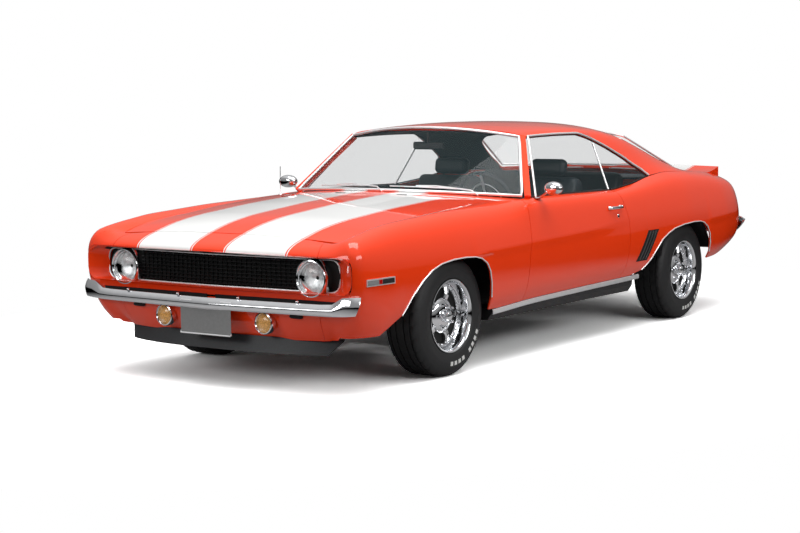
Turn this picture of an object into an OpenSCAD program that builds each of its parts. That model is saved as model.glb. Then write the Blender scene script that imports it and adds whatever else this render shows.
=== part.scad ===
// Two-door muscle coupe, full size, in millimetres.
// +X points to the nose, +Y to the left side, +Z up. The origin is on the floor, under the middle of the car.

/* [Overall] */
// Distance between the axles
wheelbase = 2743; // [2300:1:3300]
// Front bumper face to the front axle
front_overhang = 932; // [780:1:1120]
// Rear axle to the rear bumper face
rear_overhang = 1049; // [875:1:1260]
// Body width over the wheel arches
body_w = 1876; // [1564:1:2252]
// Height of the roof above the floor
roof_h = 1301; // [1084:1:1561]

/* [Wheels] */
// Tyre outer diameter
tyre_d = 637; // [560:1:700]
// Tyre width
tyre_w = 235; // [195:1:282]
// Diameter of the rim's flange
rim_d = 384; // [320:1:410]
// Wheel centre plane to the widest body side
wheel_inset = 179; // [165:1:215]
// Distance from the rim's outer face to its mounting disc
dish = 62; // [40:1:75]

/* [Body] */
// Thickness of a skin panel with its inner frame
skin = 16; // [12:1:20]
// Gap between neighbouring panels
panel_gap = 5; // [4:0.5:6]
// Inner face of the doors, from the widest body side
door_depth = 168; // [150:1:190]
// Thickness of the window glass
glass_t = 6; // [4:0.5:8]

/* [Interior] */
// Width of one front seat
seat_w = 500; // [430:5:560]
// Diameter of the steering wheel
wheel_d = 380; // [330:5:400]

/* [Hidden] */
eps = 0.3;              // clearance between separate faces that seat on each other

// ---- Driving places, worked out from the sizes above ----
half_l = (front_overhang + wheelbase + rear_overhang) / 2;
front_x = half_l - front_overhang;
rear_x = front_x - wheelbase;
half_w = body_w / 2;
tyre_r = tyre_d / 2;
half_track = half_w - wheel_inset;

// The tables below are drawn for a 2743 wheelbase; sx, sy and sz carry their numbers to the sizes above.
function sx(x) = x > 1430 ? front_x + (x - 1430) * front_overhang / 932
    : x < -1313 ? rear_x + (x + 1313) * rear_overhang / 1049
    : rear_x + (x + 1313) * wheelbase / 2743;
function sy(y) = y * half_w / 938;
function sz(z) = tyre_r + (z - 318.5) * (roof_h - tyre_r) / (1301 - 318.5);
function sp(p) = [sx(p[0]), sy(p[1]), sz(p[2])];

// ---- Curves ----
function mix(a, b, t) = a + (b - a) * t;
function clamp01(t) = min(1, max(0, t));
function unit(v) = v / norm(v);
// Column c of a table with its first column as the key
function col(table, c) = [for (r = table) [r[0], r[c]]];
// Look-up with its corners rounded over a width w
function soft(key, table, w) = (lookup(key - w, table) + 2 * lookup(key - w / 2, table) + 2 * lookup(key, table)
    + 2 * lookup(key + w / 2, table) + lookup(key + w, table)) / 8;
// Point at t (0 to 1) of a uniform cubic B-spline that starts and ends at its end points
function bspline(p, t) =
    let (n = len(p), q = concat([2 * p[0] - p[1]], p, [2 * p[n - 1] - p[n - 2]]),
         f = clamp01(t) * (n - 1), i = min(n - 2, floor(f)), s = f - i)
    (pow(1 - s, 3) * q[i] + (3 * pow(s, 3) - 6 * s * s + 4) * q[i + 1]
     + (-3 * pow(s, 3) + 3 * s * s + 3 * s + 1) * q[i + 2] + pow(s, 3) * q[i + 3]) / 6;

// ---- Body side ----
// The widest outline seen from above, run from the nose (u = -3200) to the tail (u = 3100): u, x, y
PLAN = [[-3200, 2338, 0], [-2700, 2316, 500], [-2360, 2296, 838], [-2291, 2290, 907], [-2190, 2190, 914],
    [-2050, 2050, 922], [-1430, 1430, 938], [-900, 900, 932], [0, 0, 925], [900, -900, 930], [1313, -1313, 938],
    [1900, -1900, 925], [2100, -2100, 905], [2230, -2225, 860], [2380, -2300, 740], [2600, -2330, 520],
    [3100, -2345, 0]];
// The inner edge of the same run, along the hood, the windows and the deck lid: u, x, y
INNER = [[-3200, 2182, 0], [-2700, 2178, 480], [-2517, 2194, 650], [-2290, 2188, 708], [-2190, 2150, 720],
    [-2050, 2040, 724], [-1900, 1900, 726], [-1430, 1430, 728], [-1000, 1000, 726], [-860, 860, 724],
    [-680, 680, 842], [-600, 600, 838],
    [-500, 500, 814], [0, 0, 812], [430, -430, 810], [700, -700, 803], [960, -960, 786], [1180, -1180, 776],
    [1500, -1500, 768], [1780, -1780, 760], [2100, -2100, 742], [2230, -2196, 704], [2380, -2236, 630],
    [2600, -2252, 440], [3100, -2252, 0]];
NOSE = -3200;
TAIL = 3100;
function along(u, table, w) = [soft(u, col(table, 1), w), soft(u, col(table, 2), w)];
function mirrored_u(u) = u < NOSE ? 2 * NOSE - u : u > TAIL ? 2 * TAIL - u : u;
function flip_y(u, p) = mirrored_u(u) == u ? p : [p[0], -p[1]];
function plan(u) = flip_y(u, along(mirrored_u(u), PLAN, 60));
function inner(u) = flip_y(u, along(mirrored_u(u), INNER, 60));

// Rows of the side section, from the lower hem up to the crest. Each pair is inset towards the inner edge, height.
// u, hem, low side, crease, widest, line, shoulder, crest, height of the inner edge
ROWS = [
 [-3200, [95, 262], [62, 320], [34, 420], [30, 505], [10, 668], [0, 700], [52, 736], 766],
 [-2700, [95, 262], [62, 320], [34, 420], [30, 505], [8, 664], [0, 697], [52, 734], 764],
 [-2500, [120, 264], [74, 322], [30, 425], [20, 508], [6, 660], [0, 694], [56, 738], 760],
 [-2380, [185, 270], [105, 330], [36, 430], [8, 515], [4, 650], [6, 698], [66, 752], 757],
 [-2290, [160, 278], [90, 336], [30, 437], [3, 535], [4, 648], [14, 718], [80, 785], 757],
 [-2190, [90, 282], [42, 340], [12, 436], [0, 540], [4, 648], [24, 738], [98, 806], 770],
 [-2050, [64, 282], [25, 343], [8, 428], [0, 543], [4, 649], [30, 752], [104, 826], 800],
 [-1900, [62, 285], [24, 345], [10, 420], [0, 545], [4, 650], [34, 765], [108, 845], 812],
 [-1430, [55, 300], [22, 360], [10, 435], [0, 560], [4, 652], [38, 780], [110, 868], 850],
 [-1000, [52, 318], [20, 375], [10, 450], [2, 562], [8, 658], [38, 785], [105, 872], 872],
 [-860, [50, 325], [20, 382], [10, 452], [2, 564], [8, 660], [38, 788], [98, 874], 886],
 [-680, [50, 333], [20, 390], [10, 455], [3, 565], [8, 662], [34, 785], [52, 858], 878],
 [-500, [50, 337], [20, 393], [9, 456], [3, 565], [8, 663], [34, 786], [60, 868], 888],
 [0, [48, 345], [20, 400], [8, 458], [2, 566], [8, 668], [32, 785], [60, 868], 884],
 [430, [46, 352], [18, 405], [6, 458], [0, 566], [8, 672], [32, 785], [60, 868], 880],
 [700, [44, 357], [16, 408], [5, 460], [0, 568], [6, 680], [32, 790], [64, 886], 904],
 [960, [44, 360], [16, 412], [5, 462], [0, 568], [6, 690], [34, 800], [72, 908], 944],
 [1180, [44, 362], [16, 415], [5, 465], [0, 570], [6, 690], [36, 805], [82, 922], 962],
 [1500, [46, 366], [16, 420], [6, 468], [0, 572], [6, 688], [36, 800], [84, 922], 956],
 [1780, [48, 382], [18, 430], [8, 475], [0, 574], [6, 682], [34, 795], [82, 905], 936],
 [2100, [50, 462], [24, 490], [10, 525], [0, 590], [4, 675], [28, 775], [72, 868], 896],
 [2250, [50, 500], [28, 520], [12, 550], [2, 600], [4, 675], [22, 765], [56, 850], 884],
 [2400, [46, 505], [28, 525], [14, 550], [4, 600], [4, 675], [16, 765], [40, 840], 878],
 [3100, [46, 505], [28, 525], [14, 550], [4, 600], [4, 675], [16, 770], [40, 850], 890]];
// Middle height and drop at the edge of the hood and of the deck lid: x, height, drop
HOOD = [[600, 930, 38], [850, 918, 35], [1100, 902, 32], [1430, 880, 30], [1850, 840, 24], [2000, 816, 16],
    [2100, 793, 9], [2180, 768, 4], [2300, 735, 2]];
DECK = [[-2400, 885, 16], [-2262, 903, 18], [-2100, 925, 22], [-1900, 955, 25], [-1700, 975, 28], [-1500, 990, 30]];
// The hood's cross lines bow with the nose, less and less towards the windshield
function nose_bow(x, y) = pow(abs(y) / 720, 2.4) * 72 * clamp01((x - 1300) / 700);
function crowned(x, y, table, w = 60) = soft(x, col(table, 1), w) - soft(x, col(table, 2), w) * pow(y / 720, 2);
function hood_z(x, y) = crowned(x + nose_bow(x, y), y, HOOD);
function deck_z(x, y) = crowned(x, y, DECK);
// Rows of the section at u as x, y and height. The last lies on the hood before the doors and on the deck behind the sails.
function side_rows(u) = let (b = plan(u), c = inner(u), d = unit(c - b), h = clamp01((-u - 700) / 160),
    k = clamp01((u - 1500) / 250), z = soft(u, col(ROWS, 8), 60))
    concat([for (k = [1:7]) let (q = b + d * soft(u, [for (r = ROWS) [r[0], r[k][0]]], 60))
            [q[0], q[1], soft(u, [for (r = ROWS) [r[0], r[k][1]]], 60)]],
        [[c[0], c[1], mix(mix(z, hood_z(c[0], c[1]), h), deck_z(c[0], c[1]), k)]]);
// Point of the body side at u along the outline and v (0 hem, 1 inner edge) up the section, in table units
function side_raw(u, v) = let (p = bspline(side_rows(mirrored_u(u)), v)) mirrored_u(u) == u ? p : [p[0], -p[1], p[2]];
function side(u, v) = sp(side_raw(u, v));
function side_z(u, v) = side_raw(u, v)[2];
// v at a given height, found by halving
function v_at(u, z) = let (rows = side_rows(mirrored_u(u))) halve(rows, z, 0, 0.93, 14);
function halve(rows, z, lo, hi, n) = let (m = (lo + hi) / 2) n == 0 ? m
    : bspline(rows, m)[2] < z ? halve(rows, z, m, hi, n - 1) : halve(rows, z, lo, m, n - 1);

// ---- Wheel arches: distance behind the axle, height over the axle, drawn for a 318.5 tyre radius ----
ARCH_FRONT = [[-560, -30], [-500, 60], [-430, 145], [-345, 218], [-262, 266], [-180, 291], [-70, 304], [40, 306],
    [130, 301], [195, 288], [248, 258], [280, 215], [300, 150], [315, 70], [325, 0]];
ARCH_REAR = [[-735, -30], [-660, 60], [-575, 118], [-485, 190], [-423, 235], [-345, 268], [-260, 293], [-120, 311],
    [20, 318], [120, 315], [180, 303], [235, 272], [272, 225], [290, 160], [302, 100], [310, 30]];
// Arch edges come back in table units, so that they follow the body when the sizes above change
arch_k = tyre_r / 318.5;
arch_up = arch_k * (1301 - 318.5) / (roof_h - tyre_r);
function arch_along(a, axle) = arch_k * (axle > 0 && a < 0 ? 932 / front_overhang
    : axle < 0 && a > 0 ? 1049 / rear_overhang : 2743 / wheelbase);
function arch_u(a, axle) = a * arch_along(a, axle) - axle;
function arch_z(u, arch, axle) = 318.5 + arch_up * lookup((u + axle) / arch_along(u + axle, axle), arch);

// ---- Doors: edges as x over height ----
DOOR_FRONT = [[330, 752], [600, 722], [850, 676], [900, 664]];
DOOR_REAR = [[330, -372], [400, -418], [550, -450], [700, -462], [860, -420], [900, -412]];
function door_u(edge, z) = -soft(z, edge, 60);

// ---- Greenhouse: x, then y and height of the section from the belt over the rail to the middle of the roof ----
TOP = [
 [700, [818, 892], [760, 1000], [690, 1110], [645, 1196], [560, 1226], [330, 1248], [120, 1254], [0, 1254]],
 [350, [812, 888], [757, 1000], [688, 1112], [634, 1214], [560, 1246], [330, 1264], [120, 1270], [0, 1270]],
 [150, [808, 886], [756, 1000], [688, 1114], [634, 1220], [560, 1258], [330, 1282], [120, 1290], [0, 1290]],
 [-100, [806, 884], [756, 1000], [688, 1116], [634, 1224], [560, 1265], [330, 1292], [120, 1300], [0, 1300]],
 [-400, [806, 878], [756, 998], [688, 1116], [632, 1222], [560, 1264], [330, 1293], [120, 1301], [0, 1301]],
 [-700, [800, 906], [752, 998], [688, 1105], [630, 1202], [560, 1246], [330, 1282], [120, 1292], [0, 1292]],
 [-960, [784, 944], [742, 1004], [684, 1084], [628, 1158], [560, 1206], [330, 1252], [120, 1265], [0, 1265]],
 [-1180, [776, 962], [740, 994], [690, 1044], [632, 1098], [565, 1140], [330, 1190], [120, 1204], [0, 1204]],
 [-1400, [768, 960], [738, 974], [694, 1002], [640, 1036], [575, 1062], [330, 1110], [120, 1122], [0, 1122]],
 [-1650, [764, 946], [736, 950], [692, 956], [640, 962], [580, 968], [330, 985], [120, 990], [0, 990]],
 [-1900, [762, 925], [736, 930], [692, 935], [640, 940], [580, 944], [330, 955], [120, 960], [0, 960]]];
function top_row(x, k) = k == 1 ? let (p = side_rows(-x)[7]) [p[1], p[2]] : [soft(x, [for (i = [len(TOP) - 1:-1:0]) [TOP[i][0], TOP[i][k][0]]], 80),
    soft(x, [for (i = [len(TOP) - 1:-1:0]) [TOP[i][0], TOP[i][k][1]]], 80)];
// Point of the greenhouse at x and w (0 belt, 1 middle of the roof)
function top(x, w) = let (q = bspline([for (k = [1:8]) top_row(x, k)], w)) sp([x, q[0], q[1]]);
rail_w = 0.47;          // the drip rail along the section
// Edges of the roof and the sails as x over w
ROOF_FRONT = [[0, 298], [0.47, 298], [0.6, 324], [0.7, 364], [0.8, 386], [1, 399]];
SAIL_FRONT = [[0, -985], [0.12, -920], [0.25, -770], [0.33, -620], [0.4, -480], [0.43, -420], [0.47, -335]];
BACK_EDGE = [[0, -1690], [0.2, -1620], [0.35, -1480], [0.47, -1250], [0.55, -1090], [0.62, -1020], [0.8, -1060],
    [1, -1075]];
sail_start = -335;

// ---- Solids from grids of points ----
// Unit normals of a grid, pointing right of its rows
function grid_normal(g, i, j) =
    let (n = len(g) - 1, m = len(g[0]) - 1,
         a = g[min(n, i + 1)][j] - g[max(0, i - 1)][j], b = g[i][min(m, j + 1)] - g[i][max(0, j - 1)])
    unit(cross(a, b));
function grid_offset(g, t) = [for (i = [0:len(g) - 1]) [for (j = [0:len(g[0]) - 1]) g[i][j] + t * grid_normal(g, i, j)]];
// Closed solid between an outer and an inner grid of the same size
module between(outer, inner) {
    n = len(outer);
    m = len(outer[0]);
    function o(i, j) = i * m + j;
    function k(i, j) = n * m + i * m + j;
    faces = concat(
        [for (i = [0:n - 2], j = [0:m - 2]) each [[o(i, j), o(i, j + 1), o(i + 1, j + 1)], [o(i, j), o(i + 1, j + 1), o(i + 1, j)]]],
        [for (i = [0:n - 2], j = [0:m - 2]) each [[k(i, j), k(i + 1, j + 1), k(i, j + 1)], [k(i, j), k(i + 1, j), k(i + 1, j + 1)]]],
        [for (i = [0:n - 2]) each [[o(i, 0), o(i + 1, 0), k(i + 1, 0)], [o(i, 0), k(i + 1, 0), k(i, 0)]]],
        [for (i = [0:n - 2]) each [[o(i, m - 1), k(i + 1, m - 1), o(i + 1, m - 1)], [o(i, m - 1), k(i, m - 1), k(i + 1, m - 1)]]],
        [for (j = [0:m - 2]) each [[o(0, j), k(0, j + 1), o(0, j + 1)], [o(0, j), k(0, j), k(0, j + 1)]]],
        [for (j = [0:m - 2]) each [[o(n - 1, j), o(n - 1, j + 1), k(n - 1, j + 1)], [o(n - 1, j), k(n - 1, j + 1), k(n - 1, j)]]]);
    polyhedron([for (r = outer) each r, for (r = inner) each r], faces);
}
module shell(g, t) { between(g, grid_offset(g, -t)); }
module both() { children(); mirror([0, 1, 0]) children(); }

// ---- Front and rear panels ----
function evenly(a, b, n) = [for (i = [0:n]) mix(a, b, i / n)];
// Grid of the body side over columns us, from v = start(u) up to stop(u), with its first and last columns moved to
// the door edges first(z) and last(z)
function side_grid(us, start, stop, rows, first, last) = let (ua = us[0], ub = us[len(us) - 1])
    [for (u = us) let (v0 = start(u), v1 = stop(u)) [for (v = evenly(v0, v1, rows))
        let (z = side_z(u, v), f = pow(clamp01(1 - (u - ua) / 250), 2), l = pow(clamp01(1 - (ub - u) / 250), 2))
        side(u + f * (first(z) - ua) + l * (last(z) - ub), v)]];
// The same grid, moved inwards along the surface's own normal by t, by edge_t at its last column and by first_t at its first
function side_normal(u, v) = let (v0 = max(0, v - 0.02), v1 = min(1, v + 0.02))
    unit(cross(side(u + 6, v) - side(u - 6, v), side(u, v1) - side(u, v0)));
function inner_grid(us, start, stop, rows, first, last, t, edge_t, first_t) = let (ua = us[0], ub = us[len(us) - 1])
    [for (u = us) let (v0 = start(u), v1 = stop(u)) [for (v = evenly(v0, v1, rows))
        let (z = side_z(u, v), f = pow(clamp01(1 - (u - ua) / 250), 2), l = pow(clamp01(1 - (ub - u) / 250), 2),
             w = u + f * (first(z) - ua) + l * (last(z) - ub)) side(w, v) - (u == ub ? edge_t : u == ua ? first_t : t) * side_normal(w, v)]];
module side_shell(us, start, stop, rows, first, last, t, edge_t, first_t)
    between(side_grid(us, start, stop, rows, first, last),
        inner_grid(us, start, stop, rows, first, last, t, edge_t, first_t));
function at_v(v) = function(u) v;
function at_u(u) = function(z) u;
function gap_front(z) = door_u(DOOR_FRONT, z);
function gap_rear(z) = door_u(DOOR_REAR, z);
hem_t = 4;              // folded edges of the skins at their seams, and of the fender along the door
fender_u = -2335;
tail_u = 2335;
door_front_u = gap_front(600);
door_rear_u = gap_rear(600);
// v of a wheel arch's edge, or the hem away from it
function above_arch(arch, axle) = function(u)
    let (z = arch_z(u, arch, axle)) z <= side_z(u, 0) + 1 ? 0 : v_at(u, z);
function arch_cols(arch, axle) = [for (i = [1:len(arch) - 2]) arch_u(arch[i][0], axle)];

fender_cols = concat([fender_u, -2300, -2260, -2200, -2120, -2040], arch_cols(ARCH_FRONT, 1430),
    [for (a = [327, 400, 520, 620]) arch_u(a, 1430)], [door_front_u - panel_gap]);
module fenders() color("orangered") both()
    side_shell(fender_cols, above_arch(ARCH_FRONT, 1430), at_v(1), 9, at_u(fender_u),
        function(z) gap_front(z) - panel_gap, skin, hem_t, hem_t);

quarter_cols = concat([door_rear_u + panel_gap], evenly(door_rear_u + 60, arch_u(-740, -1313), 1),
    arch_cols(ARCH_REAR, -1313), [arch_u(312, -1313)], evenly(1700, tail_u, 8));
module quarter_panels() color("orangered") both()
    side_shell(quarter_cols, above_arch(ARCH_REAR, -1313), at_v(1), 9, function(z) gap_rear(z) + panel_gap,
        at_u(tail_u), skin, hem_t, skin);

// Columns across the nose and across the tail, from the right side to the left
seam = 4.4;             // closed seam between two skins
nose_cols = evenly(2 * NOSE - fender_u + seam, fender_u - seam, 24);
tail_cols = evenly(tail_u + seam, 2 * TAIL - tail_u - seam, 18);
module nose_panel() color("orangered") {
    // header over the grille, from its lip to the hood's front edge
    side_shell(nose_cols, function(u) v_at(u, 674), at_v(1), 4, at_u(nose_cols[0]), at_u(fender_u - seam), skin, hem_t, hem_t);
    // strip under the grille
    side_shell(nose_cols, function(u) v_at(u, 478), function(u) v_at(u, 508), 1, at_u(nose_cols[0]),
        at_u(fender_u - seam), 10, hem_t, hem_t);
}
module front_valance() color("firebrick") side_shell(nose_cols, at_v(0), function(u) v_at(u, 470), 3,
    at_u(nose_cols[0]), at_u(fender_u - seam), skin, hem_t, hem_t);
module tail_panel() color("orangered") side_shell(tail_cols, at_v(0), at_v(1), 7, at_u(tail_u + seam),
    at_u(2 * TAIL - tail_u - seam), skin, hem_t, hem_t);

// Door: the outer skin and a flat inner face
module door() {
    g = side_grid(evenly(door_front_u, door_rear_u, 10), at_v(0), at_v(1), 9,
        function(z) gap_front(z), function(z) gap_rear(z));
    between(g, [for (r = g) [for (p = r) [p[0], p[0] > sx(560) && p[2] > sz(780) ? sy(811)
        : min(half_w - door_depth, p[1] - 20), p[2]]]]);
}
module door_left() color("orangered") door();
module door_right() color("orangered") mirror([0, 1, 0]) door();

// ---- Lids ----
// Edge of the hood or the deck lid across the car at x, from the inner edge of the body side
EDGE = [for (r = INNER) if (r[0] >= -2290 && r[0] <= 2230) [-r[1], r[2]]];
function edge_y(x) = soft(-x, EDGE, 60);
hood_front = 2178;
deck_front = -1700;
deck_rear = -2234;
// Rear edge of the hood over y, and the rear edge of the deck lid
function hood_rear(y) = 962 - 92 * pow(abs(y) / 700, 3);
function deck_end(y) = deck_rear + 92 * pow(abs(y) / 720, 4);
// Grid of a lid: columns from the front edge to the rear, rows from the right side to the left
function lid_grid(front, rear, height, nx, ny) = [for (i = [0:nx]) [for (j = [0:ny])
    let (t = 2 * j / ny - 1, x0 = mix(front, rear(0), i / nx), y = t * (edge_y(x0) - panel_gap),
         x = mix(front - panel_gap, rear(y), i / nx)) sp([x, y, height(x, y)])]];
function flipped(g) = [for (r = g) [for (j = [len(r) - 1:-1:0]) r[j]]];
module hood() color("orangered")
    shell(flipped(lid_grid(hood_front, function(y) hood_rear(y), function(x, y) hood_z(x, y), 12, 12)), skin + 6);
module deck_lid() color("orangered")
    shell(flipped(lid_grid(deck_front, function(y) deck_end(y) + panel_gap, function(x, y) deck_z(x, y), 6, 10)), skin + 4);

// Raised lip across the rear of the deck lid, tapering to the quarter panels
spoiler_h = 48;
function spoiler_grid(y0, y1, ny) = [for (i = [0:6]) [for (j = [0:ny])
    let (y = mix(y0, y1, j / ny), x = mix(deck_end(y) + 190, deck_end(y) + 6, i / 6))
    sp([x, y, deck_z(x, y) + eps + 3 + spoiler_h * pow(i / 6, 1.6)])]];
module spoiler_part(y0, y1, ny) {
    g = spoiler_grid(y0, y1, ny);
    between(flipped(g), flipped([for (r = g) [for (p = r) [p[0], p[1], sz(deck_z(p[0] * 4724 / half_l / 2, p[1])) + eps]]]));
}
module rear_spoiler() color("orangered") spoiler_part(-690, 690, 12);

// Panel between the hood and the windshield
function glass_base(t) = [838 - 236 * t * t, 812 * t, 919 - 27 * t * t];
module cowl_panel() color("orangered")
    shell(flipped([for (i = [0:4]) [for (j = [0:12]) let (t = j / 6 - 1, b = glass_base(t),
        x0 = mix(hood_rear(abs(t) * 720) - panel_gap, b[0] + 6, i / 4), y = t * min(800, edge_y(x0) - panel_gap),
        x = mix(hood_rear(abs(y)) - panel_gap, b[0] + 6, i / 4)) sp([x, y, hood_z(x, y) - 1])]]), skin);

// ---- Roof and glass ----
function edge_at(w, table) = lookup(w, table);
roof_front_n = 5;
roof_back_n = 8;
// Columns of the roof from the windshield to the back window, then its rows from the right rail over the middle
function roof_x(i, w) = let (f = edge_at(w, ROOF_FRONT), r = edge_at(w, BACK_EDGE))
    i <= roof_front_n ? mix(f, min(sail_start, f), i / roof_front_n) : mix(sail_start, r, (i - roof_front_n) / roof_back_n);
function flip_p(p, t) = t < 0 ? [p[0], -p[1], p[2]] : p;
roof_grid = [for (i = [0:roof_front_n + roof_back_n]) [for (t = evenly(-1, 1, 14))
    let (w = mix(1, rail_w, abs(t))) flip_p(top(roof_x(i, w), w), t)]];
// Sail behind the side window, from the belt up to the rail
sail_grid = [for (i = [0:roof_back_n]) [for (w = evenly(0.03, rail_w, 6))
    top(mix(edge_at(w, SAIL_FRONT), edge_at(w, BACK_EDGE), i / roof_back_n), w)]];
pillar_w = 46;
module roof_shell() color("orangered") {
    shell(flipped(roof_grid), skin + 6);
    both() shell(sail_grid, skin + 6);
    // windshield pillars, from the cowl to the header
    both() hull() {
        translate(sp([606, 806, 896])) cube([pillar_w, 30, 6], center = true);
        translate(sp([312, 622, 1206])) cube([pillar_w, 30, 12], center = true);
    }
    // filler between the back window and the deck lid
    shell(flipped([for (i = [0:2]) [for (j = [0:12]) let (t = j / 6 - 1, b = back_base(t),
        x = mix(b[0] - 0.6, deck_front + panel_gap, i / 2), y = t * mix(690, 752, i / 2)) sp([x, y, deck_z(x, y)])]]), skin);
}
// Lower and upper edges of the two big windows across t = -1 to 1
function glass_top(t) = [403 - 94 * t * t, 596 * t, 1268 - 52 * t * t];
function back_base(t) = [-1662 + 120 * t * t, 672 * t, 984 - 8 * t * t];
function back_top(t) = [-1080 + 30 * t * t, 556 * t, 1246 - 52 * t * t];
function ruled(a, b, nx, ny, bulge) = [for (i = [0:nx]) [for (t = evenly(-1, 1, ny))
    sp(mix(a(t), b(t), i / nx) + [0, 0, bulge * 4 * (i / nx) * (1 - i / nx) * (1 - t * t)])]];
module windshield() color("lightblue", 0.4)
    shell(ruled(function(t) glass_top(t), function(t) glass_base(t) + [0, -36 * t, 2], 6, 10, 10), glass_t);
module rear_window() color("lightblue", 0.4)
    shell(flipped(ruled(function(t) back_top(t) + [-6, 0, -3], function(t) back_base(t), 6, 10, 12)), glass_t);

// Side glass between two edges x over w, up to just under the rail or the sail's front edge
glass_inset = 9;
function rail_stop(x) = min(rail_w - 0.025, lookup(-x, [for (r = SAIL_FRONT) [-r[1], r[0]]]) - 0.018 + (x > -335 ? 1 : 0));
function side_glass(front, rear, nx, nw) = grid_offset([for (i = [0:nx]) let (x0 = mix(front(0.2), rear(0.2), i / nx))
    [for (j = [0:nw]) let (w = mix(0.0102, max(0.016, rail_stop(x0)), j / nw)) top(mix(front(w), rear(w), i / nx), w)]],
    -glass_inset);
module door_glass() shell(side_glass(function(w) 552 - 660 * w, function(w) -410 - 90 * w, 8, 5), glass_t);
module door_glass_left() color("lightblue", 0.4) door_glass();
module door_glass_right() color("lightblue", 0.4) mirror([0, 1, 0]) door_glass();
module quarter_glass() color("lightblue", 0.4) both()
    shell(side_glass(function(w) -425 - 90 * w, function(w) edge_at(w, SAIL_FRONT) + 14, 6, 4), glass_t);

// ---- Face of the car ----
grille_back = 62;
module grille() color("#181818") {
    shell([for (u = evenly(2 * NOSE + 2700, -2700, 14)) let (a = v_at(u, 514), b = v_at(u, 670)) [for (v = evenly(a, b, 2))
        side(u, v) - [grille_back, 0, 0]]], 10);
    // flat plates that carry the headlights
    both() translate([lamp_x - 10, sy(506), sz(514)]) cube([10, sy(806) - sy(506), sz(670) - sz(514)]);
    both() translate([lamp_x - 10, sy(498), sz(514)]) cube([sx(2252) - lamp_x + 10, 9, sz(670) - sz(514)]);
}
lamp_x = sx(2216);
headlight_r = 91;
module headlights() color("white") both() translate([lamp_x + eps, sy(617), sz(584)]) rotate([0, 90, 0])
    cylinder(r = headlight_r, h = 42, $fn = 64);
turn_lamp_r = 54;
// Round lamps under the bumper, flush with the valance, on a short can
module turn_lamps() color("orange") both() translate([sx(2281.8), sy(330), sz(345)]) rotate([0, 90, 0])
    cylinder(r = turn_lamp_r, h = 20, $fn = 48);

// Blade bumper: heights and outset from the body, over u
FRONT_BUMPER = [[-3200, 400, 458, 24], [-2500, 404, 460, 24], [-2440, 405, 463, 24], [-2380, 408, 498, 22],
    [-2300, 414, 502, 18], [-2200, 436, 500, 14]];
REAR_BUMPER = [[2195, 560, 606, 12], [2300, 500, 604, 20], [2420, 492, 600, 24], [3100, 490, 598, 17]];
function blade(us, table) = [for (u = us) let (m = mirrored_u(u), lo = lookup(m, col(table, 1)), hi = lookup(m, col(table, 2)),
    out = lookup(m, col(table, 3)), b = plan(u), c = unit(b - inner(u)))
    [for (r = [[0, 0.3], [0.18, 0.8], [0.5, 1], [0.82, 0.86], [1, 0.62]])
        sp([b[0] + c[0] * out * r[1], b[1] + c[1] * out * r[1], mix(lo, hi, r[0])])]];
bumper_t = 9;
module front_bumper() color("silver") {
    shell(blade(concat(evenly(2 * NOSE + 2200, 2 * NOSE + 2440, 6), evenly(2 * NOSE + 2500, -2500, 14),
        evenly(-2440, -2200, 6)), FRONT_BUMPER), bumper_t);
    // brackets back to the frame rails
    both() translate([sx(2287.4), sy(380) - 25, sz(405)]) cube([sx(2336) - sx(2287.4), 50, 40]);
}
module rear_bumper() color("silver") {
    shell(blade(concat(evenly(2195, 2395, 5), evenly(2430, 2 * TAIL - 2430, 12), evenly(2 * TAIL - 2395, 2 * TAIL - 2195, 5)),
        REAR_BUMPER), bumper_t);
    both() translate([sx(-2349), sy(480) - 25, sz(545)]) cube([sx(-2324) - sx(-2349), 50, 30]);
}
module air_dam() color("#202020")
    shell([for (u = evenly(2 * NOSE + 2560, -2560, 14)) let (p = side_raw(u, 0), k = clamp01((-abs(u - NOSE) + 640) / 200))
        [for (j = [0:2]) sp([p[0] - 2 + 12 * (1 - j / 2), p[1], mix(190 + 30 * (1 - k), p[2] - 0.2, j / 2)])]], 10);
module tail_lamps() color("red") both() {
    g = [for (u = evenly(2470, 2860, 6)) [for (z = [664, 700, 736, 772]) side(u, v_at(u, z))]];
    between(grid_offset(g, 12), grid_offset(g, eps));
}

// ---- Floor, frame and the closed rear ----
floor_z = 250;
sheet = 12;
rail_y = 380;           // middle of the frame rails
module block(a, b) {    // box between two corners given in table units
    p = sp(a);
    q = sp(b);
    translate([min(p[0], q[0]), min(p[1], q[1]), min(p[2], q[2])])
        cube([abs(q[0] - p[0]), abs(q[1] - p[1]), abs(q[2] - p[2])]);
}
sill_in = 742;
pad_x = 620;            // jacking pads under the sills, ahead of and behind the middle
module floor_pan() color("#303030") {
    block([-760, -sill_in, floor_z], [700, sill_in, floor_z + sheet]);
    difference() {      // transmission tunnel
        block([-760, -104, floor_z], [700, 104, 372]);
        block([-780, -92, floor_z - 5], [720, 92, 360]);
    }
    // rear floor, stepped up over the springs and the axle
    block([-772, -sill_in, floor_z], [-760, sill_in, 412]);
    block([-930, -sill_in, 400], [-760, sill_in, 412]);
    block([-1032, -545, 400], [-930, 545, 412]);
    block([-1032, -545, 400], [-1020, 545, 540]);
    block([-1700, -545, 528], [-1020, 545, 540]);
    block([-1712, -545, 430], [-1700, 545, 540]);
    block([-2240, -545, 430], [-1700, 545, 442]);
    // firewall up to the cowl
    block([700, -sill_in, floor_z], [712, sill_in, 862]);
    // jacking pads
    for (x = [pad_x, -pad_x], y = [-700, 700]) block([x - 60, y - 30, floor_z - 24], [x + 60, y + 30, floor_z]);
}
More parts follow.
